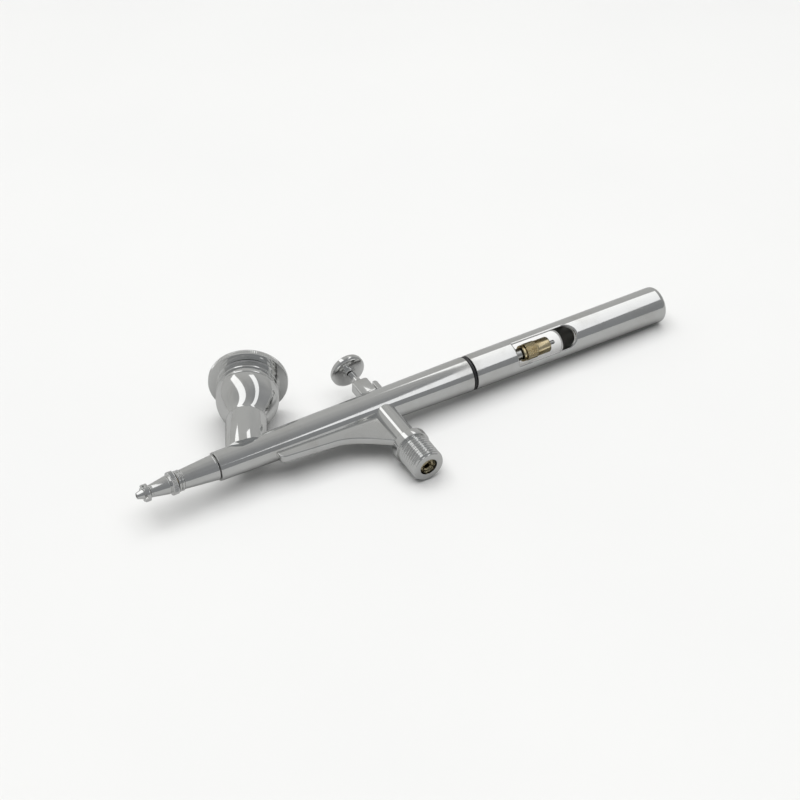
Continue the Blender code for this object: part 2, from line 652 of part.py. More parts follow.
def make_finger_rest():
    """Plate brazed under the barrel, from a rounded tab back to the valve."""
    front = TRIGGER_STATION - FIN_AHEAD
    drop = FIN_FRONT_DEPTH - FIN_TAB_HIGH
    tab = smooth_run((front, -FIN_TAB_HIGH), (front, -FIN_FRONT_DEPTH + 0.3 * drop),
                     (front + 0.6 * drop, -FIN_FRONT_DEPTH), (front + 1.5 * drop, -FIN_FRONT_DEPTH),
                     6)
    sweep_start = TRIGGER_STATION - FIN_SWEEP_AHEAD
    sweep_end = TRIGGER_STATION - FIN_FLAT_AHEAD
    third = (sweep_end - sweep_start) / 3
    sweep = smooth_run((sweep_start, -FIN_STRIP_DEPTH),
                       (sweep_start + third, -FIN_STRIP_DEPTH - third / 10),
                       (sweep_end - third, -FIN_LOW + 0.75 * third), (sweep_end, -FIN_LOW), 12)
    outline = [(front, -FIN_INSIDE)] + tab + sweep + [(TRIGGER_STATION, -FIN_LOW),
                                                      (TRIGGER_STATION, -FIN_INSIDE)]
    piece = plate("finger_rest", outline, FIN_THICKNESS)
    valve_hull = rod("valve_hull_tool", VALVE_RADIUS + GAP, -MM, VALVE_LOW, VALVE_AXIS, DOWN_VALVE,
                     ROUND)
    cut(piece, barrel_hull, valve_hull)
    return piece


# ---------------------------------------------------------------- air valve

def make_valve_body():
    """Valve housing: bored from both ends to a seat wall, with the hose thread below."""
    piece = turned(
        "valve_body",
        [(VALVE_TOP, VALVE_RADIUS), (VALVE_COLLAR_HIGH, VALVE_RADIUS),
         (VALVE_COLLAR_HIGH, VALVE_COLLAR_RADIUS), (VALVE_COLLAR_LOW, VALVE_COLLAR_RADIUS),
         (VALVE_COLLAR_LOW, HOSE_THREAD_RADIUS),
         (VALVE_LOW - VALVE_CHAMFER, HOSE_THREAD_RADIUS),
         (VALVE_LOW, HOSE_THREAD_RADIUS - VALVE_CHAMFER)],
        [(VALVE_TOP, VALVE_BORE_RADIUS), (VALVE_SEAT_HIGH, VALVE_BORE_RADIUS),
         (VALVE_SEAT_HIGH, PLUNGER_STEM_RADIUS + RUN), (VALVE_SEAT_LOW, PLUNGER_STEM_RADIUS + RUN),
         (VALVE_SEAT_LOW, VALVE_BORE_RADIUS), (VALVE_LOW, VALVE_BORE_RADIUS)],
        VALVE_AXIS, DOWN_VALVE)
    cut(piece, barrel_hull)
    return piece


SEAL_HEIGHT = VALVE_SEAT_LOW + GAP + SEAL_WIRE
DISC_HIGH = SEAL_HEIGHT + SEAL_WIRE + GAP
DISC_LOW = DISC_HIGH + PLUNGER_DISC


def make_valve_plunger():
    """Plunger: a head under the trigger's foot, a disc below the seat and a guide tail."""
    head_low = PLUNGER_HIGH + PLUNGER_HEAD
    disc_radius = VALVE_BORE_RADIUS - PLUNGER_DISC_CLEARANCE
    tail_low = GUIDE_HIGH + PLUNGER_TAIL
    return turned(
        "valve_plunger",
        [(PLUNGER_HIGH, PLUNGER_RADIUS), (head_low, PLUNGER_RADIUS),
         (head_low, PLUNGER_STEM_RADIUS), (DISC_HIGH, PLUNGER_STEM_RADIUS),
         (DISC_HIGH, disc_radius), (DISC_LOW, disc_radius),
         (DISC_LOW, PLUNGER_STEM_RADIUS), (tail_low, PLUNGER_STEM_RADIUS)],
        None, VALVE_AXIS, DOWN_VALVE, SMALL_ROUND)


def make_plunger_seal():
    """Rubber ring on the plunger, drawn as a turned ring with a round section."""
    middle = PLUNGER_STEM_RADIUS + GAP + SEAL_WIRE
    section = arc(SEAL_HEIGHT, middle, SEAL_WIRE, pi, 0.0, 6)
    hollow = arc(SEAL_HEIGHT, middle, SEAL_WIRE, pi, 2 * pi, 6)[1:-1]
    return turned("plunger_seal", section, hollow, VALVE_AXIS, DOWN_VALVE, SMALL_ROUND)


def make_valve_guide():
    """Hollow screw in the valve's mouth, with a driver slot across its end."""
    low = GUIDE_HIGH + GUIDE_LENGTH
    radius = VALVE_BORE_RADIUS - THREAD_GAP
    piece = turned("valve_guide", [(GUIDE_HIGH, radius), (low, radius)],
                   [(GUIDE_HIGH, PLUNGER_STEM_RADIUS + RUN), (low, PLUNGER_STEM_RADIUS + RUN)],
                   VALVE_AXIS, DOWN_VALVE, SMALL_ROUND)
    slot = box("guide_slot_tool",
               (TRIGGER_STATION - 2 * radius, -low - MM, -SCREW_SLOT_WIDTH / 2),
               (TRIGGER_STATION + 2 * radius, -low + SCREW_SLOT_DEPTH, SCREW_SLOT_WIDTH / 2))
    cut(piece, slot)
    return piece


# ---------------------------------------------------------------- trigger and lever

def make_trigger_lever():
    """Foot, blade, block and stem in one, slotted for the needle."""
    foot = TRIGGER_FOOT_RADIUS
    half_block = TRIGGER_BLOCK_LENGTH / 2
    low = TRIGGER_BLOCK_LOW + TRIGGER_PIVOT_DEPTH
    high = TRIGGER_BLOCK_HIGH + TRIGGER_PIVOT_DEPTH
    corner = TRIGGER_CORNER
    outer_low = low + TRIGGER_UNDERCUT
    outline = (
        arc(0.0, 0.0, foot, -pi, 0.0, 9)
        + [(foot, low)]
        + arc(half_block - corner, outer_low + corner, corner, -pi / 2, 0.0, 4)
        + arc(half_block - corner, high - corner, corner, 0.0, pi / 2, 4)
        + arc(corner - half_block, high - corner, corner, pi / 2, pi, 4)
        + arc(corner - half_block, outer_low + corner, corner, pi, 3 * pi / 2, 4)
        + [(-foot, low)])
    piece = plate("trigger_lever", outline, TRIGGER_WIDTH, TRIGGER_PIVOT)
    stem = rod("trigger_stem_tool", TRIGGER_STEM_RADIUS, high - corner,
               TRIGGER_STEM_HIGH + TRIGGER_PIVOT_DEPTH, TRIGGER_PIVOT, UP_TRIGGER)
    join(piece, stem)
    needle_slot = box(
        "trigger_needle_slot_tool",
        (TRIGGER_STATION - half_block - MM, -TRIGGER_SLOT_LOW, -NEEDLE_SLOT_HALF),
        (TRIGGER_STATION + half_block + MM, NEEDLE_RADIUS + TRIGGER_PRESS + MM, NEEDLE_SLOT_HALF))
    cut(piece, needle_slot)
    return piece


def make_trigger_pad():
    """Round finger pad with a shallow dish, on a short hub over the stem."""
    hub_low = TRIGGER_STEM_HIGH + TRIGGER_PIVOT_DEPTH + GAP
    low = hub_low + PAD_HUB_HEIGHT
    high = low + PAD_THICKNESS
    rise = smooth_run((low, PAD_HUB_RADIUS + GAP), (low + PAD_EDGE / 5, PAD_RADIUS - PAD_EDGE),
                      (low + PAD_EDGE, PAD_RADIUS), (low + 2 * PAD_EDGE, PAD_RADIUS), 5)
    rounding = arc(high - PAD_EDGE, PAD_RADIUS - PAD_EDGE, PAD_EDGE, pi / 2, 0.0, 3)
    dish = [(high - PAD_DISH * (1 - share ** 2), PAD_RADIUS * share) for share in (0.6, 0.3)]
    return turned("trigger_pad", [(hub_low, PAD_HUB_RADIUS), (low, PAD_HUB_RADIUS)] + rise
                  + rounding + dish, None, TRIGGER_PIVOT, UP_TRIGGER)


def make_auxiliary_lever():
    """Lever between the trigger and the needle tube, forked round the needle."""
    boss = LEVER_BOSS_RADIUS
    top = LEVER_HIGH + LEVER_PIN_DEPTH
    tip = LEVER_THICKNESS / 2
    rear = LEVER_THICKNESS - boss
    meet = sqrt(boss ** 2 - rear ** 2)
    outline = (
        arc(0.0, 0.0, boss, -pi, np.arctan2(meet, rear), 13)
        + arc(rear - tip, top - tip, tip, 0.0, pi, 9))
    piece = plate("auxiliary_lever", outline, LEVER_WIDTH, LEVER_PIVOT)
    hole = rod("lever_hole_tool", LEVER_PIN_RADIUS + GAP, -LEVER_WIDTH, LEVER_WIDTH, LEVER_PIVOT,
               SIDEWAYS)
    needle_slot = box(
        "lever_needle_slot_tool",
        (LEVER_PIN_STATION - LEVER_WIDTH, -NEEDLE_SLOT_HALF, -NEEDLE_SLOT_HALF),
        (LEVER_PIN_STATION + LEVER_WIDTH, NEEDLE_SLOT_HALF + GAP, NEEDLE_SLOT_HALF))
    cut(piece, hole, needle_slot)
    return piece


def make_lever_pin():
    length = sqrt(TUBE_HEAD_RADIUS ** 2 - (LEVER_PIN_DEPTH + LEVER_PIN_RADIUS) ** 2) - RUN / 4
    return rod("lever_pin", LEVER_PIN_RADIUS, -length, length, LEVER_PIVOT, SIDEWAYS, 16, parts)


# ---------------------------------------------------------------- needle assembly

def make_needle_tube():
    """Tube round the needle: a forked head for the lever, and a slit collet behind."""
    step = NUT_FRONT - GAP
    rear = step + COLLET_LENGTH
    piece = turned(
        "needle_tube",
        [(TUBE_FRONT, TUBE_HEAD_RADIUS), (TUBE_FLANGE_REAR, TUBE_HEAD_RADIUS),
         (TUBE_FLANGE_REAR, TUBE_RADIUS), (step, TUBE_RADIUS), (step, COLLET_RADIUS),
         (rear, COLLET_RADIUS)],
        [(TUBE_FRONT, NEEDLE_BORE_RADIUS), (rear, NEEDLE_BORE_RADIUS)])
    reach = 2 * TUBE_HEAD_RADIUS
    half = LEVER_WIDTH / 2 + GAP
    fork = box("tube_fork_tool", (TUBE_FRONT - MM, -reach, -half),
               (TUBE_FLANGE_FRONT, reach, half))
    hole = rod("tube_hole_tool", LEVER_PIN_RADIUS + GAP, -reach, reach, LEVER_PIVOT, SIDEWAYS, 16)
    slit = box("collet_slit_tool", (step - COLLET_SLIT_AHEAD, -reach, -COLLET_SLIT / 2),
               (rear + MM, reach, COLLET_SLIT / 2))
    cut(piece, fork, hole, slit)
    return piece


def make_needle():
    """Needle: a long fine taper in front, blunt behind."""
    start = GAP
    return turned(
        "needle",
        [(start, NEEDLE_POINT_RADIUS), (start + NEEDLE_POINT_TAPER, NEEDLE_POINT_REAR_RADIUS),
         (start + NEEDLE_TAPER, NEEDLE_RADIUS), (NEEDLE_REAR - GAP, NEEDLE_RADIUS),
         (NEEDLE_REAR, NEEDLE_RADIUS - GAP)],
        steps=SMALL_ROUND)


def make_chuck_nut():
    """Brass nut over the collet: wider in front, a small shoulder, closed behind."""
    shoulder = NUT_FRONT + NUT_SHOULDER
    floor = NUT_REAR - NUT_FLOOR
    return turned(
        "chuck_nut",
        [(NUT_FRONT, NUT_RADIUS - NUT_EDGE), (NUT_FRONT + NUT_EDGE, NUT_RADIUS),
         (shoulder - NUT_EDGE, NUT_RADIUS), (shoulder, NUT_REAR_RADIUS),
         (NUT_REAR - NUT_EDGE, NUT_REAR_RADIUS), (NUT_REAR, NUT_REAR_RADIUS - NUT_EDGE)],
        [(NUT_FRONT, COLLET_RADIUS + THREAD_GAP), (floor, COLLET_RADIUS + THREAD_GAP),
         (floor, NEEDLE_BORE_RADIUS), (NUT_REAR, NEEDLE_BORE_RADIUS)])


def make_spring_case():
    """Case screwed into the body's rear: it holds the needle spring behind the tube's head."""
    bore = TUBE_RADIUS + THREAD_GAP
    floor = CASE_REAR - CASE_WALL
    rear = CASE_REAR + CASE_NECK
    return turned(
        "spring_case",
        [(CASE_FRONT, CASE_RADIUS), (CASE_REAR, CASE_RADIUS), (CASE_REAR, CASE_NECK_RADIUS),
         (rear, CASE_NECK_RADIUS)],
        [(CASE_FRONT, CASE_BORE_RADIUS), (floor, CASE_BORE_RADIUS), (floor, bore), (rear, bore)])


# ---------------------------------------------------------------- rear end

def make_joint_ring():
    """Dark ring between the body's shoulder and the handle."""
    outer = BODY_REAR_RADIUS - JOINT_RING_INSET
    inner = SPIGOT_RADIUS + GAP
    return turned("joint_ring", [(RING_FRONT, outer), (RING_REAR, outer)],
                  [(RING_FRONT, inner), (RING_REAR, inner)])


def make_handle():
    """Cut-away handle: hollow in front, with a window through it over the chuck nut."""
    socket_rear = BODY_REAR + SPIGOT_LENGTH + GAP
    cavity_rear = HANDLE_FRONT + WINDOW_END + CAVITY_BEHIND_WINDOW
    rounding = arc(HANDLE_REAR - HANDLE_ROUNDING, HANDLE_REAR_RADIUS - HANDLE_ROUNDING,
                   HANDLE_ROUNDING, pi / 2, 0.0, 6)
    piece = turned(
        "handle",
        [(HANDLE_FRONT, BODY_REAR_RADIUS)] + rounding + [(HANDLE_REAR, 0.0)],
        [(HANDLE_FRONT, SPIGOT_RADIUS + THREAD_GAP), (socket_rear, SPIGOT_RADIUS + THREAD_GAP),
         (socket_rear, HANDLE_CAVITY_RADIUS), (cavity_rear, HANDLE_CAVITY_RADIUS),
         (cavity_rear + CAVITY_CONE, 0.0)])
    start = HANDLE_FRONT + WINDOW_START
    end = HANDLE_FRONT + WINDOW_END
    half = WINDOW_WIDTH / 2
    outline = ([(start, -half)] + arc(end - half, 0.0, half, -pi / 2, pi / 2, 13)
               + [(start, half)])
    window = plate("window_tool", outline, 4 * HANDLE_REAR_RADIUS, ORIGIN, cutters)
    window.rotation_quaternion = Matrix.Rotation(pi / 2 - WINDOW_TURN, 3, 'X').to_quaternion()
    cut(piece, window)
    return piece


# ---------------------------------------------------------------- build

NEEDLE_SPRING_RADIUS = (TUBE_RADIUS + CASE_BORE_RADIUS) / 2
VALVE_SPRING_RADIUS = (PLUNGER_STEM_RADIUS + VALVE_BORE_RADIUS) / 2
SPRING_FRONT = TUBE_FLANGE_REAR + GAP
SPRING_REAR = CASE_REAR - CASE_WALL - GAP
chrome_pieces = [
    make_crown_cap(), make_nozzle_cap(), make_head_sleeve(), make_main_body(), make_paint_cup(),
    make_cup_lid(), make_finger_rest(), make_valve_body(), make_trigger_lever(),
    make_trigger_pad(), make_auxiliary_lever(), make_handle()]
steel_pieces = [make_lever_pin(), make_needle_tube(), make_needle(), make_spring_case()]
brass_pieces = [make_fluid_nozzle(), make_packing_screw(), make_valve_plunger(),
                make_valve_guide(), make_chuck_nut()]
black_pieces = [make_plunger_seal(), make_joint_ring()]
white_pieces = [make_head_seal(), make_needle_packing()]
springs = [
    coil("needle_spring", NEEDLE_SPRING_RADIUS, NEEDLE_SPRING_WIRE, NEEDLE_SPRING_TURNS,
         SPRING_FRONT, SPRING_REAR, ORIGIN, ALONG_BARREL),
    coil("valve_spring", VALVE_SPRING_RADIUS, VALVE_SPRING_WIRE, VALVE_SPRING_TURNS,
         DISC_LOW + GAP, GUIDE_HIGH - GAP, VALVE_AXIS, DOWN_VALVE)]

for group, colour, metallic, roughness in (
        (chrome_pieces, CHROME, 1.0, 0.12), (steel_pieces, STEEL, 1.0, 0.25),
        (brass_pieces, BRASS, 1.0, 0.3), (springs, SPRING_STEEL, 1.0, 0.35),
        (black_pieces, SEAL_BLACK, 0.0, 0.5), (white_pieces, PACKING_WHITE, 0.0, 0.5)):
    for member in group:
        finish(member, make_material(member.name, colour, metallic, roughness))


# ---------------------------------------------------------------- resting pose

def table_normal(circles):
    """Up direction of the plane that three circles (centre, axis, radius) rest on."""
    up = SIDEWAYS.copy()
    for _ in range(30):
        touching = []
        for centre, axis, radius in circles:
            downhill = axis * up.dot(axis) - up
            touching.append(centre + radius * downhill.normalized())
        up = (touching[1] - touching[0]).cross(touching[2] - touching[0]).normalized()
        if up.z < 0:
            up = -up
    return up


lid_edge = CUP_BASE + ALONG_CUP * (CUP_HEIGHT + 2 * GAP + LID_EDGE)
handle_edge = Vector((HANDLE_REAR - HANDLE_ROUNDING / 3, 0, 0))
valve_edge = VALVE_AXIS + DOWN_VALVE * (VALVE_LOW - VALVE_CHAMFER)
up = table_normal([
    (lid_edge, ALONG_CUP, LID_RADIUS),
    (handle_edge, ALONG_BARREL, HANDLE_REAR_RADIUS - HANDLE_ROUNDING / 8),
    (valve_edge, DOWN_VALVE, HOSE_THREAD_RADIUS)])
forward = (ALONG_BARREL - up * up.dot(ALONG_BARREL)).normalized()
across = up.cross(forward)
airbrush.rotation_mode = 'QUATERNION'
airbrush.rotation_quaternion = Matrix((forward, across, up)).to_quaternion()

bpy.context.view_layer.update()
graph = bpy.context.evaluated_depsgraph_get()
corners = []
for piece in parts.objects:
    if piece.type == 'EMPTY':
        continue
    evaluated = piece.evaluated_get(graph)
    shape = evaluated.to_mesh()
    points = np.empty(len(shape.vertices) * 3, dtype=np.float32)
    shape.vertices.foreach_get("co", points)
    turn = np.array(evaluated.matrix_world)
    placed = points.reshape(-1, 3) @ turn[:3, :3].T + turn[:3, 3]
    corners.append(placed.min(axis=0))
    corners.append(placed.max(axis=0))
    evaluated.to_mesh_clear()
lowest = np.min(corners, axis=0)
highest = np.max(corners, axis=0)
middle = (lowest + highest) / 2
airbrush.location = (-middle[0], -middle[1], -lowest[2])
bpy.context.view_layer.update()
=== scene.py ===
import json
from math import asin, atan2, cos, floor, hypot, pi, radians, sin, sqrt

import bmesh
import bpy
from mathutils import Matrix, Vector


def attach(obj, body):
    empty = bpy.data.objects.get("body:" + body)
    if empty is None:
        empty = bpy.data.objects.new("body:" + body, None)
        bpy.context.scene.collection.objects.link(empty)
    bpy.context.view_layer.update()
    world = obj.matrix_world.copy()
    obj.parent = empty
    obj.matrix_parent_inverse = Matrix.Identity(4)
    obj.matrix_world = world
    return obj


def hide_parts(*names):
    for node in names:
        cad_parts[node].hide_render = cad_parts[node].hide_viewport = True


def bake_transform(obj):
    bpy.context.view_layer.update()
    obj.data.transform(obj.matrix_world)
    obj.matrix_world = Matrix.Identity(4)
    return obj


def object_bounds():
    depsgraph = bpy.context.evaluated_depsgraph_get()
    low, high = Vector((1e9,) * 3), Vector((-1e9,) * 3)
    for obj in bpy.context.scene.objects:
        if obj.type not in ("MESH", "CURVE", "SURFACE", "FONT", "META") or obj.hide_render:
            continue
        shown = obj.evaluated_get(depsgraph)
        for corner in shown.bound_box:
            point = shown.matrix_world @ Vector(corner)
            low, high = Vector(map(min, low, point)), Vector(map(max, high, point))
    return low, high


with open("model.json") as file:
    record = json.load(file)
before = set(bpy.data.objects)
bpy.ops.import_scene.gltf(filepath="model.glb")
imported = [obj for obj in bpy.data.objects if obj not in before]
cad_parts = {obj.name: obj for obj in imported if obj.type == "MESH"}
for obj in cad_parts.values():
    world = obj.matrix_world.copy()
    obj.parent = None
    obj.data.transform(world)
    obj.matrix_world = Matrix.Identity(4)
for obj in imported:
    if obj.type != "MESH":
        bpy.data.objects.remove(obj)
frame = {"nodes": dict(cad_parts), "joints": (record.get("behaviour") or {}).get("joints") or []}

cadLow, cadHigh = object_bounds()
print("frame loaded:", len(frame["nodes"]), "nodes")

mm = 0.001
pieceGap = 0.3 * mm      # between neighbours, as in the frame
crisp = 0.05 * mm      # rounding of a nearly sharp corner

# where everything is, read from the frame
joints = {joint["name"]: joint for joint in frame["joints"]}
alongBarrel = Vector(joints["handle_turn"]["axis"]).normalized()
downValve = Vector(joints["trigger_press"]["axis"]).normalized()
upTrigger = -downValve
sideways = alongBarrel.cross(upTrigger)
alongCup = Vector(joints["lid_lift"]["axis"]).normalized()
needleTip = Vector(joints["needle_guard_turn"]["pos_m"])
triggerPivot = Vector(joints["trigger_pull"]["pos_m"])
leverPivot = Vector(joints["lever_swing"]["pos_m"])
valveRoot = needleTip + alongBarrel * (triggerPivot - needleTip).dot(alongBarrel)


def corners(node):
    return [vertex.co for vertex in frame["nodes"][node].data.vertices]


def reach(node, direction=alongBarrel, start=needleTip):      # a node goes from, to along a line
    heights = [(point - start).dot(direction) for point in corners(node)]
    return min(heights), max(heights)


def girth(node, direction=alongBarrel, start=needleTip, low=-1.0, high=1.0):
    # largest radius round a line, between two heights
    largest = 0.0
    for point in corners(node):
        offset = point - start
        height = offset.dot(direction)
        if low <= height <= high:
            largest = max(largest, (offset - direction * height).length)
    return largest


bodyFront = reach("main_body")[0]
ringFront, ringRear = reach("joint_ring")
bodyRear = ringFront - pieceGap
bodyFrontRadius = girth("main_body", high=bodyFront + mm)
bodyRearRadius = girth("main_body")
triggerStation = (triggerPivot - needleTip).dot(alongBarrel)


def barrelRadius(station):
    share = (station - bodyFront) / (bodyRear - bodyFront)
    return bodyFrontRadius + share * (bodyRearRadius - bodyFrontRadius)


lidPoints = corners("cup_lid")
cupBase = sum(lidPoints, Vector()) / len(lidPoints)
for direction in (sideways, alongCup.cross(sideways)):      # onto the cup's axis
    low, high = reach("cup_lid", direction, cupBase)
    cupBase += direction * ((low + high) / 2)
for _ in range(4):      # slide down the cup's axis to the barrel's surface
    station = (cupBase - needleTip).dot(alongBarrel)
    rise = (cupBase - needleTip).dot(upTrigger) - barrelRadius(station)
    cupBase -= alongCup * (rise / alongCup.dot(upTrigger))


# shader helpers and shared effects

def addNode(tree, kind, inputs=None, **settings):
    node = tree.nodes.new(kind)
    for name, value in settings.items():
        setattr(node, name, value)
    for name, value in (inputs or {}).items():
        if isinstance(value, bpy.types.NodeSocket):
            tree.links.new(value, node.inputs[name])
        else:
            node.inputs[name].default_value = value
    return node


def calculate(tree, operation, first, second):
    return addNode(tree, "ShaderNodeMath", {0: first, 1: second}, operation=operation).outputs[0]


def blendTones(tree, share, first, second):      # each tone is a colour or a socket
    tones = {name: tone if isinstance(tone, bpy.types.NodeSocket) else (*tone, 1.0)
             for name, tone in (("A", first), ("B", second))}
    mix = addNode(tree, "ShaderNodeMix", {"Factor": share, **tones}, data_type='RGBA')
    return mix.outputs["Result"]


def newGroup(name, inputs, outputs):
    group = bpy.data.node_groups.new(name, 'ShaderNodeTree')
    for socketName, socketType, value in inputs:
        socket = group.interface.new_socket(socketName, in_out='INPUT', socket_type=socketType)
        if value is not None:
            socket.default_value = value
    for socketName, socketType in outputs:
        group.interface.new_socket(socketName, in_out='OUTPUT', socket_type=socketType)
    return group, group.nodes.new("NodeGroupInput"), group.nodes.new("NodeGroupOutput")


def makeHandlingMarks():      # soft smudges that break up a polish
    group, given, result = newGroup(
        "handlingMarks",
        [("Vector", 'NodeSocketVector', None), ("Scale", 'NodeSocketFloat', 90.0),
         ("Clean", 'NodeSocketFloat', 0.05), ("Smudged", 'NodeSocketFloat', 0.16)],
        [("Roughness", 'NodeSocketFloat'), ("Mask", 'NodeSocketFloat')])
    cloud = addNode(group, "ShaderNodeTexNoise",
                    {"Vector": given.outputs["Vector"], "Scale": given.outputs["Scale"],
                     "Detail": 5.0, "Roughness": 0.6, "Distortion": 0.6})
    mask = addNode(group, "ShaderNodeMapRange",
                   {"Value": cloud.outputs["Fac"], "From Min": 0.42, "From Max": 0.72},
                   interpolation_type='SMOOTHSTEP')
    spread = addNode(group, "ShaderNodeMapRange",
                     {"Value": mask.outputs["Result"], "To Min": given.outputs["Clean"],
                      "To Max": given.outputs["Smudged"]})
    group.links.new(spread.outputs["Result"], result.inputs["Roughness"])
    group.links.new(mask.outputs["Result"], result.inputs["Mask"])
    return group


def makeTurningMarks():      # fine rings left by a lathe and a buffing wheel, round the local Z
    group, given, result = newGroup(
        "turningMarks",
        [("Vector", 'NodeSocketVector', None), ("Rings", 'NodeSocketFloat', 6000.0)],
        [("Height", 'NodeSocketFloat')])
    parts = addNode(group, "ShaderNodeSeparateXYZ", {"Vector": given.outputs["Vector"]})
    along = calculate(group, 'MULTIPLY', parts.outputs["Z"], given.outputs["Rings"])
    wander, drift = [calculate(group, 'MULTIPLY', parts.outputs[axis], 60.0) for axis in "XY"]
    stretched = addNode(group, "ShaderNodeCombineXYZ", {"X": wander, "Y": drift, "Z": along})
    rings = addNode(group, "ShaderNodeTexNoise",
                    {"Vector": stretched.outputs[0], "Scale": 1.0, "Detail": 3.0,
                     "Roughness": 0.65})
    group.links.new(rings.outputs["Fac"], result.inputs["Height"])
    return group


def makeHairScratches():      # short fine wiping marks in two directions, as a mask
    group, given, result = newGroup(
        "hairScratches",
        [("Vector", 'NodeSocketVector', None), ("Length", 'NodeSocketFloat', 90.0),
         ("Fineness", 'NodeSocketFloat', 9000.0)],
        [("Mask", 'NodeSocketFloat')])
    stretch = addNode(group, "ShaderNodeCombineXYZ",
                      {"X": given.outputs["Length"], "Y": given.outputs["Fineness"],
                       "Z": given.outputs["Length"]})
    marks = []
    for turn in ((0.3, 0.5, 0.7), (-0.6, 0.2, -0.4)):
        turned = addNode(group, "ShaderNodeMapping", {"Vector": given.outputs["Vector"],
                                                      "Rotation": turn})
        pulled = addNode(group, "ShaderNodeVectorMath",
                         {0: turned.outputs[0], 1: stretch.outputs[0]}, operation='MULTIPLY')
        streaks = addNode(group, "ShaderNodeTexNoise",
                          {"Vector": pulled.outputs[0], "Scale": 1.0, "Detail": 1.0})
        marks.append(addNode(group, "ShaderNodeMapRange",
                             {"Value": streaks.outputs["Fac"], "From Min": 0.66,
                              "From Max": 0.74}))
    both = calculate(group, 'MAXIMUM', marks[0].outputs["Result"], marks[1].outputs["Result"])
    patch = addNode(group, "ShaderNodeTexNoise",
                    {"Vector": given.outputs["Vector"], "Scale": 130.0, "Detail": 2.0})
    some = addNode(group, "ShaderNodeMapRange",
                   {"Value": patch.outputs["Fac"], "From Min": 0.45, "From Max": 0.65})
    mask = calculate(group, 'MULTIPLY', both, some.outputs["Result"])
    group.links.new(mask, result.inputs["Mask"])
    return group


def makeDepthTone():      # painted shade mask: 0 in the bottom of a cut, 1 on its crests, by distance from local Z
    group, given, result = newGroup(
        "depthTone",
        [("Vector", 'NodeSocketVector', None), ("Low", 'NodeSocketFloat', 0.0),
         ("High", 'NodeSocketFloat', 0.01)],
        [("Mask", 'NodeSocketFloat')])
    flat = addNode(group, "ShaderNodeVectorMath",
                   {0: given.outputs["Vector"], 1: (1.0, 1.0, 0.0)}, operation='MULTIPLY')
    distance = addNode(group, "ShaderNodeVectorMath", {0: flat.outputs[0]}, operation='LENGTH')
    tone = addNode(group, "ShaderNodeMapRange",
                   {"Value": distance.outputs["Value"], "From Min": given.outputs["Low"],
                    "From Max": given.outputs["High"]})
    group.links.new(tone.outputs["Result"], result.inputs["Mask"])
    return group


handlingMarks = makeHandlingMarks()
turningMarks = makeTurningMarks()
hairScratches = makeHairScratches()
depthTone = makeDepthTone()


def startMaterial(name):
    material = bpy.data.materials.new(name)
    material.use_nodes = True
    tree = material.node_tree
    shader = tree.nodes["Principled BSDF"]
    place = addNode(tree, "ShaderNodeTexCoord").outputs["Object"]
    return material, tree, shader, place


def useGroup(tree, group, inputs):
    return addNode(tree, "ShaderNodeGroup", inputs, node_tree=group)


def metal(name, look):
    # a metal whose colour, gloss and surface each vary; look lists the two tones and the amounts
    material, tree, shader, place = startMaterial(name)
    smudge = useGroup(tree, handlingMarks, {"Vector": place, "Scale": look["smudgeScale"],
                                            "Clean": look["clean"], "Smudged": look["smudged"]})
    scratch = useGroup(tree, hairScratches, {"Vector": place, "Length": look["scratchLength"],
                                             "Fineness": look["scratchFineness"]})
    rings = useGroup(tree, turningMarks, {"Vector": place, "Rings": look["rings"]})
    colour = blendTones(tree, smudge.outputs["Mask"], look["tone"], look["dullTone"])
    worn = calculate(tree, 'MULTIPLY', scratch.outputs["Mask"], look["scratchGloss"])
    gloss = calculate(tree, 'ADD', smudge.outputs["Roughness"], worn)
    cutLine = calculate(tree, 'MULTIPLY', scratch.outputs["Mask"], -look["scratchDepth"])
    height = calculate(tree, 'ADD', rings.outputs["Height"], cutLine)
    bump = addNode(tree, "ShaderNodeBump", {"Strength": look["bump"], "Distance": look["relief"],
                                            "Height": height})
    if "cut" in look:      # painted shade: darker in the bottom of the knurl or thread
        low, high, dark = look["cut"]
        depth = useGroup(tree, depthTone, {"Vector": place, "Low": low, "High": high})
        colour = blendTones(tree, depth.outputs["Mask"], dark, colour)
    tree.links.new(colour, shader.inputs["Base Color"])
    tree.links.new(gloss, shader.inputs["Roughness"])
    tree.links.new(bump.outputs["Normal"], shader.inputs["Normal"])
    shader.inputs["Metallic"].default_value = 1.0
    return material


chromeLook = {"tone": (0.86, 0.865, 0.86), "dullTone": (0.79, 0.79, 0.775), "clean": 0.055,
              "smudged": 0.12, "smudgeScale": 85.0, "scratchLength": 160.0,
              "scratchFineness": 9000.0, "scratchGloss": 0.1, "scratchDepth": 0.3,
              "rings": 5200.0, "bump": 0.06, "relief": 0.02 * mm}
steelLook = dict(chromeLook, tone=(0.66, 0.66, 0.65), dullTone=(0.52, 0.52, 0.51), clean=0.2,
                 smudged=0.34, rings=9000.0, bump=0.18)
needleLook = dict(chromeLook, tone=(0.74, 0.74, 0.73), dullTone=(0.66, 0.66, 0.65), clean=0.14,
                  smudged=0.24, rings=12000.0, bump=0.1)
springLook = dict(chromeLook, tone=(0.46, 0.46, 0.46), dullTone=(0.36, 0.35, 0.34), clean=0.24,
                  smudged=0.4, rings=3000.0, bump=0.1)
brassLook = dict(chromeLook, tone=(0.88, 0.76, 0.50), dullTone=(0.76, 0.62, 0.37), clean=0.16,
                 smudged=0.34, smudgeScale=260.0, rings=9000.0, bump=0.16)

boreLook = dict(chromeLook, tone=(0.56, 0.56, 0.55), dullTone=(0.40, 0.40, 0.39), clean=0.3,
                smudged=0.45, rings=7000.0, bump=0.2)

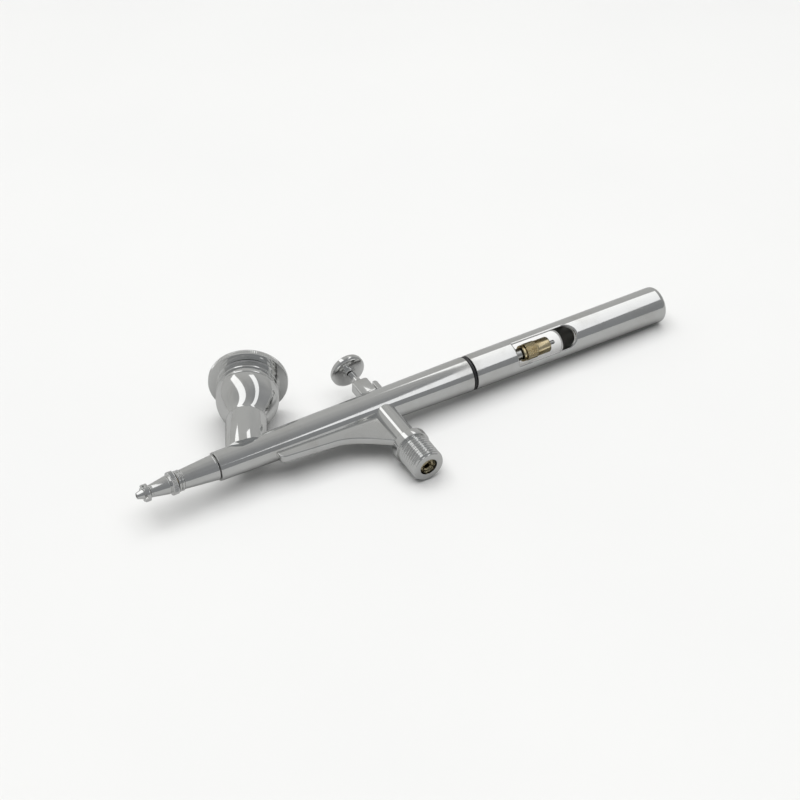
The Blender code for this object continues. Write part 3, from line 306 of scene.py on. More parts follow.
chrome = metal("polishedChrome", chromeLook)
turnedSteel = metal("turnedSteel", steelLook)
needleSteel = metal("needleSteel", needleLook)
springSteel = metal("springSteel", springLook)
brass = metal("turnedBrass", brassLook)
drilledBore = metal("drilledBore", boreLook)


def softMaterial(name, tone, dustyTone, clean, dusty, grain, relief):
    # rubber and packing: a matt surface with a fine grain and a little dust
    material, tree, shader, place = startMaterial(name)
    smudge = useGroup(tree, handlingMarks,
                      {"Vector": place, "Scale": 300.0, "Clean": clean, "Smudged": dusty})
    colour = blendTones(tree, smudge.outputs["Mask"], tone, dustyTone)
    speck = addNode(tree, "ShaderNodeTexNoise", {"Vector": place, "Scale": grain, "Detail": 4.0})
    bump = addNode(tree, "ShaderNodeBump", {"Strength": 0.4, "Distance": relief,
                                            "Height": speck.outputs["Fac"]})
    tree.links.new(colour, shader.inputs["Base Color"])
    tree.links.new(smudge.outputs["Roughness"], shader.inputs["Roughness"])
    tree.links.new(bump.outputs["Normal"], shader.inputs["Normal"])
    return material


blackRubber = softMaterial("blackRubber", (0.018, 0.018, 0.02), (0.05, 0.05, 0.052), 0.42, 0.62,
                           2600.0, 0.02 * mm)
whitePacking = softMaterial("whitePacking", (0.84, 0.83, 0.79), (0.70, 0.69, 0.64), 0.35, 0.55,
                            1800.0, 0.02 * mm)
print("materials made")


# mesh helpers

def localFrame(origin, direction):      # local Z along direction, local X sideways
    side = sideways if abs(direction.dot(sideways)) < 0.9 else alongBarrel
    across = (side - direction * side.dot(direction)).normalized()
    turn = Matrix((across, direction.cross(across), direction)).transposed()
    return Matrix.Translation(origin) @ turn.to_4x4()


def softened(points, steps=4):
    # points are (height, radius, rounding): each corner becomes a short curve of that size
    line = []
    for index, (height, radius, rounding) in enumerate(points):
        corner = Vector((height, radius))
        if rounding == 0 or index in (0, len(points) - 1):
            line.append(corner)
            continue
        before = Vector(points[index - 1][:2]) - corner
        after = Vector(points[index + 1][:2]) - corner
        start = corner + before.normalized() * min(rounding, before.length * 0.45)
        end = corner + after.normalized() * min(rounding, after.length * 0.45)
        for step in range(steps + 1):
            share = step / steps
            line.append(start * (1 - share) ** 2 + corner * 2 * share * (1 - share)
                        + end * share ** 2)
    return line


def divided(line, longest, low, high):
    # adds points to the long stretches between two heights
    result = [line[0]]
    for start, end in zip(line, line[1:]):
        inside = low <= (start.x + end.x) / 2 <= high
        count = max(1, int((end - start).length / longest + 0.999)) if inside else 1
        result += [start.lerp(end, step / count) for step in range(1, count + 1)]
    return result


def addObject(name, data):
    item = bpy.data.objects.new(name, data)
    bpy.context.scene.collection.objects.link(item)
    return item


def shadeEdges(mesh, sharp=38.0):      # smooth shading with edges sharper than an angle kept
    mesh.shade_smooth()
    mesh.set_sharp_from_angle(angle=radians(sharp))


def finishMesh(name, shape, matrix, sharp=38.0):
    bmesh.ops.remove_doubles(shape, verts=shape.verts, dist=1e-7)
    bmesh.ops.recalc_face_normals(shape, faces=shape.faces)
    mesh = bpy.data.meshes.new(name)
    shape.to_mesh(mesh)
    shape.free()
    shadeEdges(mesh, sharp)
    piece = addObject(name, mesh)
    piece.matrix_world = matrix
    return piece


def spin(shape, line, sides, closed, relief=None):
    # turns a line of (height, radius) round local Z; relief gives the radius at a height and angle
    rings = []
    for height, radius in line:
        if radius < 1e-7:
            rings.append([shape.verts.new((0.0, 0.0, height))])
            continue
        ring = []
        for side in range(sides):
            angle = 2 * pi * side / sides
            reached = relief(height, radius, angle) if relief else radius
            ring.append(shape.verts.new((reached * cos(angle), reached * sin(angle), height)))
        rings.append(ring)
    pairs = list(zip(rings, rings[1:]))
    if closed:
        pairs.append((rings[-1], rings[0]))
    for first, second in pairs:
        if len(first) == 1 and len(second) == 1:
            continue
        for side in range(sides):
            after = (side + 1) % sides
            face = [first[side % len(first)], first[after % len(first)],
                    second[after % len(second)], second[side % len(second)]]
            shape.faces.new(list(dict.fromkeys(face)))


def turnedPiece(name, points, origin, direction, sides=128, closed=True, relief=None, fine=None,
                sharp=38.0):
    shape = bmesh.new()
    line = softened(points)
    if fine:
        line = divided(line, *fine)
    if closed and (line[-1] - line[0]).length < 1e-9:      # a closed outline starts only once
        line = line[:-1]
    spin(shape, line, sides, closed, relief)
    return finishMesh(name, shape, localFrame(origin, direction), sharp)


def rodTool(name, start, startRadius, end, endRadius, sides, origin=needleTip,
            direction=alongBarrel):      # a plain cylinder or cone to cut with
    return turnedPiece(name, [(start, 0.0, 0), (start, startRadius, 0), (end, endRadius, 0),
                              (end, 0.0, 0)], origin, direction, sides, closed=False)


def carve(piece, tool):
    change = piece.modifiers.new("cut", 'BOOLEAN')
    change.object = tool
    change.solver = 'EXACT'
    graph = bpy.context.evaluated_depsgraph_get()
    mesh = bpy.data.meshes.new_from_object(piece.evaluated_get(graph))
    piece.modifiers.clear()
    piece.data = mesh
    bpy.data.objects.remove(tool)


def platePiece(name, outline, thickness, origin, edge=0.0, axes=(alongBarrel, upTrigger, sideways)):
    # an outline along the first two axes, thickened along the third, its rim rounded by edge
    shape = bmesh.new()
    steps = 4 if edge else 1
    count = len(outline)
    normals = []
    for index in range(count):
        before = (Vector(outline[index]) - Vector(outline[index - 1])).normalized()
        after = (Vector(outline[(index + 1) % count]) - Vector(outline[index])).normalized()
        away = Vector((before.y + after.y, -before.x - after.x))
        away.normalize()
        normals.append(away / max(0.5, away.dot(Vector((after.y, -after.x)))))
    levels = []
    for step in range(steps + 1):
        angle = pi / 2 * step / steps
        levels.append((edge * (1 - sin(angle)), thickness / 2 - edge * (1 - cos(angle))))
    levels += [(inset, -height) for inset, height in reversed(levels)]
    loops = [[shape.verts.new((*(Vector(point) - away * inset), height))
              for point, away in zip(outline, normals)] for inset, height in levels]
    for upper, lower in zip(loops, loops[1:]):
        for index in range(count):
            after = (index + 1) % count
            shape.faces.new((upper[index], upper[after], lower[after], lower[index]))
    shape.faces.new(loops[0])
    shape.faces.new(list(reversed(loops[-1])))
    turn = Matrix(axes).transposed()
    return finishMesh(name, shape, Matrix.Translation(origin) @ turn.to_4x4())



def arc(centreX, centreY, radius, start, end, count):
    points = []
    for step in range(count):
        angle = radians(start + (end - start) * step / (count - 1))
        points.append((centreX + radius * cos(angle), centreY + radius * sin(angle)))
    return points


def bezier(start, startHandle, endHandle, end, count):
    points = []
    for step in range(count):
        share = step / (count - 1)
        rest = 1 - share
        weights = (rest ** 3, 3 * rest ** 2 * share, 3 * rest * share ** 2, share ** 3)
        points.append(tuple(sum(weight * point[axis] for weight, point in
                                zip(weights, (start, startHandle, endHandle, end)))
                            for axis in (0, 1)))
    return points


def dress(piece, material, body, slot, *nodes):
    piece.data.materials.clear()
    piece.data.materials.append(material)
    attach(piece, body)
    if nodes:
        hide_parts(*nodes)
    return piece


def lineBore(piece, radius, far=1.0):      # the drilled inside isn't polished like the outside
    piece.data.materials.append(drilledBore)
    for polygon in piece.data.polygons:
        middle = polygon.center
        if hypot(middle.x, middle.y) < radius and middle.z < far:
            polygon.material_index = 1


def milled(teeth, depth, low, high, fade):
    # a relief of straight teeth between two heights, fading out at both ends
    def relief(height, radius, angle):
        if height <= low or height >= high:
            return radius
        ends = min(1.0, (height - low) / fade, (high - height) / fade)
        tooth = 0.5 - 0.5 * cos(teeth * angle)
        return radius - depth * ends * tooth
    return relief


# head

crownCap = {"noseShare": 0.58, "ringShare": 0.27, "waist": 1.15 * mm, "noseRadius": 1.45 * mm,
            "tipRadius": 0.85 * mm, "mouth": 0.5 * mm, "prongs": 5, "prongWall": 0.6 * mm,
            "prongHeight": 0.7 * mm, "gap": 1.25 * mm, "round": 0.12 * mm,
            "bore": 1.25 * mm, "throat": 0.9 * mm, "sunk": 0.15 * mm, "steps": 10,
            # how high up a prong, as a share of its height, and how far its sides draw in
            "levels": ((0.6, 0.0), (0.86, 0.06 * mm), (1.0, 0.16 * mm))}


def makeCrownCap():
    length = reach("crown_cap")[1]
    radius = girth("crown_cap")
    ring = length * (1 - crownCap["ringShare"])
    nose = length * crownCap["noseShare"]
    soft = crownCap["round"]
    points = [(0.05 * mm, crownCap["mouth"], 0), (0.0, crownCap["tipRadius"], soft),
              (nose, crownCap["noseRadius"], soft), (nose + 0.12 * mm, crownCap["waist"], soft / 3),
              (ring, crownCap["waist"], soft / 3), (ring, radius, soft),
              (length, radius, soft), (length, crownCap["bore"], 0),
              (ring, crownCap["throat"], 0)]
    shape = bmesh.new()
    spin(shape, softened(points), 96, True)
    piece = finishMesh("crownCap", shape, localFrame(needleTip, alongBarrel))
    shape = bmesh.new()
    shape.from_mesh(piece.data)
    inner = radius - crownCap["prongWall"]
    steps = crownCap["steps"]
    half = pi / crownCap["prongs"] - asin(crownCap["gap"] / 2 / radius)
    for index in range(crownCap["prongs"]):      # upright prongs standing on the ring
        middle = 2 * pi * (index + 0.5) / crownCap["prongs"]
        heights = [(-crownCap["sunk"], 0.0)]
        heights += [(share * crownCap["prongHeight"], inset) for share, inset in crownCap["levels"]]
        layers = []
        for rise, inset in heights:
            side = half - inset / radius
            rim = [(radius - inset, middle + side * (2 * step / steps - 1))
                   for step in range(steps + 1)]
            rim += [(inner + inset / 2, middle + side * (1 - 2 * step / steps))
                    for step in range(steps + 1)]
            layers.append([shape.verts.new((far * cos(angle), far * sin(angle), ring - rise))
                           for far, angle in rim])
        for lower, upper in zip(layers, layers[1:]):
            for step in range(len(lower)):
                after = (step + 1) % len(lower)
                shape.faces.new((lower[step], lower[after], upper[after], upper[step]))
        shape.faces.new(layers[-1])
        shape.faces.new(list(reversed(layers[0])))
    bmesh.ops.recalc_face_normals(shape, faces=shape.faces)
    shape.to_mesh(piece.data)
    shape.free()
    shadeEdges(piece.data)
    return dress(piece, chrome, "needle_guard", "chrome", "crown_cap")


nozzleCap = {"teeth": 44, "depth": 0.16 * mm, "knurlWidth": 1.6 * mm, "frontRadius": 1.75 * mm,
             "rearRadius": 2.6 * mm, "groove": 0.16 * mm, "mouth": 1.3 * mm, "bore": 2.1 * mm}


def makeNozzleCap():
    front, rear = reach("nozzle_cap")
    radius = girth("nozzle_cap")
    knurl = rear - nozzleCap["knurlWidth"]
    lip = nozzleCap["rearRadius"]
    groove = nozzleCap["groove"]
    slim = nozzleCap["frontRadius"]
    points = [(front, nozzleCap["mouth"], 0), (front, slim, 0.15 * mm),
              (front + 0.55 * mm, slim + 0.05 * mm, 0.04 * mm),
              (front + 0.62 * mm, slim - groove / 2, 0.03 * mm),
              (front + 0.75 * mm, slim + 0.08 * mm, 0.04 * mm),
              (knurl - 0.7 * mm, lip, 0.1 * mm), (knurl - 0.28 * mm, lip - groove, 0.1 * mm),
              (knurl, lip - groove, crisp), (knurl, radius, 0.12 * mm),
              (rear, radius, 0.12 * mm), (rear, nozzleCap["bore"], 0)]
    relief = milled(nozzleCap["teeth"], nozzleCap["depth"], knurl, rear, 0.25 * mm)
    piece = turnedPiece("nozzleCap", points, needleTip, alongBarrel, nozzleCap["teeth"] * 8,
                        relief=relief, fine=(0.12 * mm, knurl - 0.1 * mm, rear + 0.1 * mm))
    return dress(piece, chrome, "air_cap", "chrome", "nozzle_cap")


headSleeve = {"collar": 0.6 * mm, "groove": 0.25 * mm, "grooveDepth": 0.32 * mm,
              "frontRadius": 2.75 * mm, "collarProud": 0.22 * mm, "spigotStep": 1.2 * mm,
              "mouth": 1.6 * mm, "throat": 1.3 * mm}


def makeHeadSleeve():
    front, tail = reach("head_sleeve")
    rear = bodyFront - pieceGap
    radius = girth("head_sleeve")
    slim = headSleeve["frontRadius"]
    proud = slim + headSleeve["collarProud"]
    low = slim - headSleeve["grooveDepth"]
    first = front + headSleeve["collar"]
    second = first + headSleeve["groove"]
    third = second + headSleeve["collar"]
    fourth = third + headSleeve["groove"]
    spigot = bodyFrontRadius - headSleeve["spigotStep"]
    tiny = 0.06 * mm
    points = [(front, headSleeve["mouth"], 0), (front, proud, tiny * 2), (first, proud, tiny * 2),
              (first, low, tiny / 2), (second, low, tiny / 2), (second, proud, tiny * 2),
              (third, proud, tiny * 2), (third, low, tiny / 2), (fourth, low, tiny / 2),
              (fourth, slim, tiny * 2), (rear - 0.5 * mm, radius - 0.06 * mm, tiny),
              (rear - 0.42 * mm, radius - 0.02 * mm, tiny), (rear, radius, tiny),
              (rear, spigot, 0), (tail, spigot, 0), (tail, headSleeve["throat"], 0)]
    piece = turnedPiece("headSleeve", points, needleTip, alongBarrel)
    return dress(piece, chrome, "body", "chrome", "head_sleeve")


# outlines cut through a round wall

def lengthwiseSlot(front, rear, half, roundFront):
    # signed distance outside a slot along the barrel, with a round rear and a round or square front
    def outside(height, offset):
        if height > rear - half:
            return hypot(height - rear + half, offset) - half
        if roundFront and height < front + half:
            return hypot(front + half - height, offset) - half
        ahead = front - height
        beside = abs(offset) - half
        if ahead > 0 and beside > 0:
            return hypot(ahead, beside)
        return max(ahead, beside)
    return outside


def slotOutline(front, rear, half, roundFront, count=24):
    rearEnd = arc(rear - half, 0.0, half, -90, 90, count)
    if roundFront:
        return rearEnd + arc(front + half, 0.0, half, 90, 270, count)
    return rearEnd + [(front, half), (front, -half)]


def roundedLip(outside, lip, facing, bothSides):
    # relief that lets the wall's surface curl down toward a slot's edge; facing is its angle
    def relief(height, radius, angle):
        turn = angle - facing
        if cos(turn) < 0 and not bothSides:
            return radius
        distance = outside(height, radius * sin(turn)) / max(0.45, abs(cos(turn)))
        if distance >= lip:
            return radius
        inside = lip - max(0.0, distance)
        return radius - lip + sqrt(lip * lip - inside * inside)
    return relief


def outerNormals(piece, smoothRadius):
    # the long outer wall takes the normals of a true cone, so that cuts in it leave no ripples
    mesh = piece.data
    shadeEdges(mesh)
    normals = [corner.vector.copy() for corner in mesh.corner_normals]
    for polygon in mesh.polygons:
        centre = polygon.center
        away = Vector((centre.x, centre.y, 0)).normalized()
        if polygon.normal.dot(away) < 0.999:
            continue
        if abs(hypot(centre.x, centre.y) - smoothRadius(centre.z)) > 0.02 * mm:
            continue
        slope = (smoothRadius(centre.z + mm) - smoothRadius(centre.z)) / mm
        for corner in polygon.loop_indices:
            point = mesh.vertices[mesh.loops[corner].vertex_index].co
            normals[corner] = Vector((*Vector((point.x, point.y)).normalized(), -slope)).normalized()
    mesh.normals_split_custom_set(normals)


# body and cup

mainBody = {"slotHalf": 2.1 * mm, "slotAhead": 4.0 * mm, "slotBehind": 10.5 * mm,
            "lip": 0.25 * mm, "wall": 1.45 * mm, "spigotStep": 0.85 * mm, "edge": 0.12 * mm,
            "sides": 192, "socketWall": 0.9 * mm, "socketDepth": 6.1 * mm, "paintBore": 2.0 * mm,
            "paintEnd": 20 * mm, "packingBore": 2.6 * mm, "mechanismAhead": 8.0 * mm}


def makeMainBody():
    rear = reach("main_body")[1]
    spigot = bodyRearRadius - mainBody["spigotStep"]
    bore = bodyRearRadius - mainBody["wall"]
    socket = bodyFrontRadius - mainBody["socketWall"]
    socketEnd = bodyFront + mainBody["socketDepth"]
    front = triggerStation - mainBody["slotAhead"]
    back = triggerStation + mainBody["slotBehind"]
    mechanism = triggerStation - mainBody["mechanismAhead"]
    paint, packing = mainBody["paintBore"], mainBody["packingBore"]
    edge = mainBody["edge"]
    half = mainBody["slotHalf"]
    points = [(bodyFront, socket, 0), (bodyFront, bodyFrontRadius, edge),
              (bodyRear, bodyRearRadius, edge), (bodyRear, spigot, crisp), (rear, spigot, edge),
              (rear, bore, 0), (mechanism, bore, 0), (mechanism, packing, 0),
              (bodyFront + mainBody["paintEnd"], paint, 0), (socketEnd, paint, 0),
              (socketEnd, socket, 0)]
    curl = roundedLip(lengthwiseSlot(front, back, half, True), mainBody["lip"], pi / 2, False)

    def wallRelief(height, radius, angle):
        outer = radius > bore + 0.3 * mm and height < bodyRear
        return curl(height, radius, angle) if outer else radius

    piece = turnedPiece("mainBody", points, needleTip, alongBarrel, mainBody["sides"],
                        relief=wallRelief, fine=(0.16 * mm, front - 0.5 * mm, back + 0.5 * mm))
    high = needleTip + upTrigger * (1.5 * bodyRearRadius)
    carve(piece, platePiece("slotTool", slotOutline(front, back, half, True), 3 * bodyRearRadius,
                            high, axes=(alongBarrel, -sideways, upTrigger)))
    carve(piece, rodTool("valveHoleTool", 0.0, packing, 2 * bodyRearRadius, packing, 64,
                         valveRoot, downValve))
    outerNormals(piece, barrelRadius)
    dress(piece, chrome, "body", "chrome", "main_body")
    lineBore(piece, bore + 0.05 * mm)
    return piece


paintCup = {"stem": 0.612, "neck": 0.664, "neckAt": 0.37, "bowlAt": 0.765, "mouth": 0.98,
            "wall": 0.6 * mm, "grooves": (0.835, 0.925), "grooveWidth": 0.22 * mm,
            "grooveDepth": 0.09 * mm, "seam": 0.05 * mm, "saddleLow": 0.8 * mm,
            "bore": 2.5 * mm, "sunk": 0.12 * mm, "toolReach": 12 * mm, "sharp": 32}


def makePaintCup():
    high = reach("paint_cup", alongCup, cupBase)[1]
    bowl = girth("paint_cup", alongCup, cupBase, 0.5 * high, high)
    neckAt = paintCup["neckAt"] * high
    bowlAt = paintCup["bowlAt"] * high
    stem = paintCup["stem"] * bowl
    neck = paintCup["neck"] * bowl
    mouth = paintCup["mouth"] * bowl
    foot = -(cupBase - needleTip).dot(upTrigger)
    side = [(foot, stem), (neckAt - 0.12 * mm, neck), (neckAt, neck - paintCup["seam"])]
    side += bezier((neckAt + 0.12 * mm, neck), (neckAt + 0.11 * high, neck + 0.3 * mm),
                   (bowlAt - 0.19 * high, bowl), (bowlAt, bowl), 26)
    side += bezier((bowlAt, bowl), (bowlAt + 0.07 * high, bowl),
                   (high - 0.09 * high, mouth), (high, mouth), 14)[1:]
    for share in paintCup["grooves"]:      # two fine turned lines below the lid
        height = share * high
        width = paintCup["grooveWidth"]
        index = next(i for i, point in enumerate(side) if point[0] > height + width)
        radius = side[index][1]
        side = ([point for point in side if point[0] < height - width]
                + [(height - width, radius), (height - width / 3, radius - paintCup["grooveDepth"]),
                   (height + width / 3, radius - paintCup["grooveDepth"]),
                   (height + width, radius)]
                + [point for point in side if point[0] > height + width])
    wall = paintCup["wall"]
    inside = [(height, radius - wall) for height, radius in reversed(side)
              if height > neckAt + 4 * mm]
    inside += [(neckAt + 2.3 * mm, neck - 1.9 * mm), (neckAt + 1.4 * mm, paintCup["bore"]),
               (foot, paintCup["bore"])]
    points = [(height, radius, 0) for height, radius in side + inside]
    piece = turnedPiece("paintCup", points, cupBase, alongCup, 160)
    station = (cupBase - needleTip).dot(alongBarrel)
    ahead, behind = station - paintCup["toolReach"], station + paintCup["toolReach"]
    carve(piece, rodTool("barrelTool", ahead, barrelRadius(ahead) - paintCup["sunk"],
                         behind, barrelRadius(behind) - paintCup["sunk"], 160))
    wide = 16 * mm
    outline = [(station - wide, -wide), (station + wide, -wide),
               (station + wide, paintCup["saddleLow"]), (station - wide, paintCup["saddleLow"])]
    carve(piece, platePiece("saddleTool", outline, 2 * wide, needleTip))
    shadeEdges(piece.data, paintCup["sharp"])
    return dress(piece, chrome, "body", "chrome", "paint_cup")


cupLid = {"teeth": 124, "depth": 0.2 * mm, "rim": 1.7 * mm, "edge": 0.22 * mm,
          "dish": 0.28 * mm, "dishAt": 0.84, "line": 0.62, "vent": 0.7 * mm, "wall": 0.6 * mm}


def makeCupLid():
    low, top = reach("cup_lid", alongCup, cupBase)
    radius = girth("cup_lid", alongCup, cupBase)
    rimLow = top - cupLid["rim"]
    mouth = reach("paint_cup", alongCup, cupBase)[1]
    spigot = girth("cup_lid", alongCup, cupBase, low - mm, low + mm)
    edge = cupLid["edge"]
    dishAt = cupLid["dishAt"] * radius
    line = cupLid["line"] * radius
    floorAt = top - cupLid["dish"]
    vent = cupLid["vent"]
    under = mouth + pieceGap
    inside = spigot - cupLid["wall"]
    ceiling = mouth + 0.9 * mm
    points = [(low, inside, 0), (low, spigot, 0.1 * mm), (under, spigot, 0),
              (under, spigot + 0.9 * mm, crisp),
              (rimLow, spigot + 1.3 * mm, crisp), (rimLow, radius, edge),
              (top, radius, edge), (top, dishAt + 0.25 * mm, 0.1 * mm), (floorAt, dishAt, 0.1 * mm),
              (floorAt, line + 0.12 * mm, 0.02 * mm), (floorAt - 0.07 * mm, line, 0.02 * mm),
              (floorAt, line - 0.12 * mm, 0.02 * mm), (floorAt, vent + 0.15 * mm, 0.08 * mm),
              (floorAt - 0.15 * mm, vent, crisp), (ceiling, vent, 0),
              (ceiling, inside, 0)]
    teeth = milled(cupLid["teeth"], cupLid["depth"], rimLow, top, 0.3 * mm)

    def rimRelief(height, reached, angle):
        return teeth(height, reached, angle) if reached > radius - mm else reached

    piece = turnedPiece("cupLid", points, cupBase, alongCup, cupLid["teeth"] * 6,
                        relief=rimRelief, fine=(0.16 * mm, rimLow + edge / 2, top - edge / 2))
    return dress(piece, chrome, "lid", "chrome", "cup_lid")


fingerRest = {"edge": 0.35 * mm, "frontDepth": 0.432, "tabHigh": 0.309, "strip": 0.5,
              "sweepFrom": 0.474, "sweepTo": 0.915, "inside": 2.6 * mm, "sunk": 0.1 * mm,
              "valveRadius": 3.3 * mm, "sharp": 32}


def makeFingerRest():
    start = reach("finger_rest")[0]
    deep = -reach("finger_rest", upTrigger, needleTip)[0]
    side = reach("finger_rest", sideways, needleTip)
    length = triggerStation - start
    frontDepth = fingerRest["frontDepth"] * deep
    tabHigh = fingerRest["tabHigh"] * deep
    strip = fingerRest["strip"] * deep
    sweepFrom = start + fingerRest["sweepFrom"] * length
    sweepTo = start + fingerRest["sweepTo"] * length
    drop = frontDepth - tabHigh
    third = (sweepTo - sweepFrom) / 3
    top = -fingerRest["inside"]
    outline = [(triggerStation, top), (start, top)]
    outline += bezier((start, -tabHigh), (start, -frontDepth + 0.3 * drop),
                      (start + 0.6 * drop, -frontDepth), (start + 1.5 * drop, -frontDepth), 14)
    outline += bezier((sweepFrom, -strip), (sweepFrom + third, -strip - third / 10),
                      (sweepTo - third, -deep + 0.75 * third), (sweepTo, -deep), 26)
    outline += [(triggerStation, -deep)]
    piece = platePiece("fingerRest", outline, side[1] - side[0], needleTip,
                       fingerRest["edge"])
    sunk, tube = fingerRest["sunk"], fingerRest["valveRadius"]
    carve(piece, rodTool("barrelTool", start - 2 * mm, barrelRadius(start) - sunk,
                         triggerStation + 9 * mm, barrelRadius(triggerStation) - sunk, 128))
    carve(piece, rodTool("valveTool", 0.0, tube, deep + 2 * mm, tube, 96, valveRoot, downValve))
    shadeEdges(piece.data, fingerRest["sharp"])
    return dress(piece, chrome, "body", "chrome", "finger_rest")


# air valve

valveBody = {"pitch": 0.907 * mm, "threadDepth": 0.5 * mm, "edge": 0.2 * mm, "wall": 0.9 * mm,
             "root": 0.55 * mm, "shoulder": 0.3 * mm, "seatHole": 1.3 * mm, "sharp": 50,
             # heights above the lower end
             "collarHigh": 11.0 * mm, "collarLow": 8.6 * mm, "seatLow": 17.6 * mm,
             "seatHigh": 19.4 * mm}


def makeValveBody():
    low = reach("valve_body", downValve, valveRoot)[1]
    collar = girth("valve_body", downValve, valveRoot)
    tube = girth("valve_body", downValve, valveRoot, 0.0, 8 * mm)
    collarHigh = low - valveBody["collarHigh"]
    collarLow = low - valveBody["collarLow"]
    seatLow = low - valveBody["seatLow"]
    seatHigh = low - valveBody["seatHigh"]
    thread = girth("valve_body", downValve, valveRoot, collarLow + 0.5 * mm, low)
    edge = valveBody["edge"]
    root = thread - valveBody["root"]
    shoulder = tube + valveBody["shoulder"]
    bore = tube - valveBody["wall"]
    seatHole = valveBody["seatHole"]
    points = [(2 * mm, bore, 0), (2 * mm, tube, 0), (collarHigh - 0.6 * mm, tube, 0.1 * mm),
              (collarHigh - 0.45 * mm, shoulder, 0.1 * mm), (collarHigh, shoulder, crisp),
              (collarHigh, collar, edge), (collarLow, collar, edge), (collarLow, root, crisp),
              (collarLow + 0.6 * mm, root, crisp), (collarLow + 0.9 * mm, thread, 0.1 * mm),
              (low - 0.5 * mm, thread, 0.1 * mm), (low, thread - 0.5 * mm, crisp),
              (low, bore, 0.1 * mm), (seatLow, bore, 0), (seatLow, seatHole, 0),
              (seatHigh, seatHole, 0), (seatHigh, bore, 0)]
    pitch = valveBody["pitch"]

    def threadRelief(height, radius, angle):
        if height < collarLow + 0.8 * mm or radius < thread - 0.5 * mm:
            return radius
        turns = height / pitch - angle / (2 * pi)
        groove = abs(2 * (turns - floor(turns)) - 1)
        crest = min(1.0, max(0.0, groove * 1.5 - 0.25))
        cut = (1 - crest) * valveBody["threadDepth"]
        return max(root, min(radius, thread - cut))

    piece = turnedPiece("valveBody", points, valveRoot, downValve, 96, relief=threadRelief,
                        fine=(0.08 * mm, collarLow + 0.7 * mm, low - 0.1 * mm), sharp=50.0)
    sunk = barrelRadius(triggerStation) - 0.12 * mm
    carve(piece, rodTool("barrelTool", triggerStation - 9 * mm, sunk, triggerStation + 9 * mm,
                         sunk, 128))
    shadeEdges(piece.data, valveBody["sharp"])
    return dress(piece, chrome, "body", "chrome", "valve_body")


# trigger and lever

triggerPad = {"edge": 0.55 * mm, "dish": 0.45 * mm, "hub": 1.9 * mm, "hubHigh": 0.6 * mm,
              "line": 0.78}


def makeTriggerPad():
    low, high = reach("trigger_pad", upTrigger, triggerPivot)
    radius = girth("trigger_pad", upTrigger, triggerPivot)
    edge = triggerPad["edge"]
    under = low + triggerPad["hubHigh"]
    side = bezier((under, triggerPad["hub"] + 0.3 * mm), (under + 0.1 * mm, radius - edge),
                  (under + edge, radius), (under + 2 * edge, radius), 12)
    side += bezier((high - edge, radius), (high - 0.12 * mm, radius), (high, radius - 0.12 * mm),
                   (high, radius - edge), 8)
    line = triggerPad["line"] * radius
    dish = [(high - triggerPad["dish"] * (1 - (share / 9) ** 2), radius * share / 10)
            for share in range(8, -1, -1)]
    points = ([(low, 0.0, 0), (low, triggerPad["hub"], 0.1 * mm), (under, triggerPad["hub"], 0)]
              + [(height, far, 0) for height, far in side]
              + [(high - 0.02 * mm, line + 0.3 * mm, 0), (high - 0.09 * mm, line + 0.1 * mm, 0)]
              + [(height, far, 0) for height, far in dish if far < line])
    piece = turnedPiece("triggerPad", points, triggerPivot, upTrigger, 128, closed=False)
    return dress(piece, chrome, "trigger", "chrome", "trigger_pad")


triggerLever = {"corner": 0.75 * mm, "edge": 0.3 * mm, "foot": 1.2 * mm, "half": 2.5 * mm,
                "blockLow": 7.8 * mm, "blockHigh": 14.0 * mm, "stem": 1.25 * mm,
                "lowCorner": 0.4 * mm, "lowRise": 0.6 * mm, "slotReach": 3.1 * mm,
                "slotDrop": 1.35 * mm, "slotHigh": 4.95 * mm, "slotWidth": 2.0 * mm}


def makeTriggerLever():
    side = reach("trigger_lever", sideways, triggerPivot)
    high = reach("trigger_lever", upTrigger, triggerPivot)[1]
    foot, half, corner = triggerLever["foot"], triggerLever["half"], triggerLever["corner"]
    low, top = triggerLever["blockLow"], triggerLever["blockHigh"]
    small, rise = triggerLever["lowCorner"], triggerLever["lowRise"]
    outline = arc(0.0, 0.0, foot, -180, 0, 16)
    outline += [(foot, low)]
    outline += arc(half - small, low + rise, small, -90, 0, 6)
    outline += arc(half - corner, top - corner, corner, 0, 90, 8)
    outline += arc(corner - half, top - corner, corner, 90, 180, 8)
    outline += arc(small - half, low + rise, small, 180, 270, 6)
    outline += [(-foot, low)]
    piece = platePiece("triggerLever", outline, side[1] - side[0], triggerPivot,
                       triggerLever["edge"])
    stem = triggerLever["stem"]
    points = [(top - 0.6 * mm, 0.0, 0), (top - 0.6 * mm, stem + 0.35 * mm, 0),
              (top + 0.1 * mm, stem + 0.35 * mm, 0.1 * mm), (top + 0.35 * mm, stem, 0.2 * mm),
              (high, stem, 0.1 * mm), (high, 0.0, 0)]
    post = turnedPiece("triggerPost", points, triggerPivot, upTrigger, 48, closed=False)
    reachSlot = triggerLever["slotReach"]
    lowSlot = (needleTip - triggerPivot).dot(upTrigger) - triggerLever["slotDrop"]
    highSlot = lowSlot + triggerLever["slotHigh"]
    slot = [(-reachSlot, lowSlot), (reachSlot, lowSlot), (reachSlot, highSlot),
            (-reachSlot, highSlot)]
    carve(piece, platePiece("needleSlotTool", slot, triggerLever["slotWidth"], triggerPivot))
    shadeEdges(piece.data)
    dress(post, chrome, "trigger", "chrome")
    return dress(piece, chrome, "trigger", "chrome", "trigger_lever")


auxiliaryLever = {"edge": 0.25 * mm, "boss": 1.15 * mm, "thickness": 1.6 * mm,
                  "pinHole": 0.75 * mm, "needleHole": 1.15 * mm, "holeReach": 4 * mm}


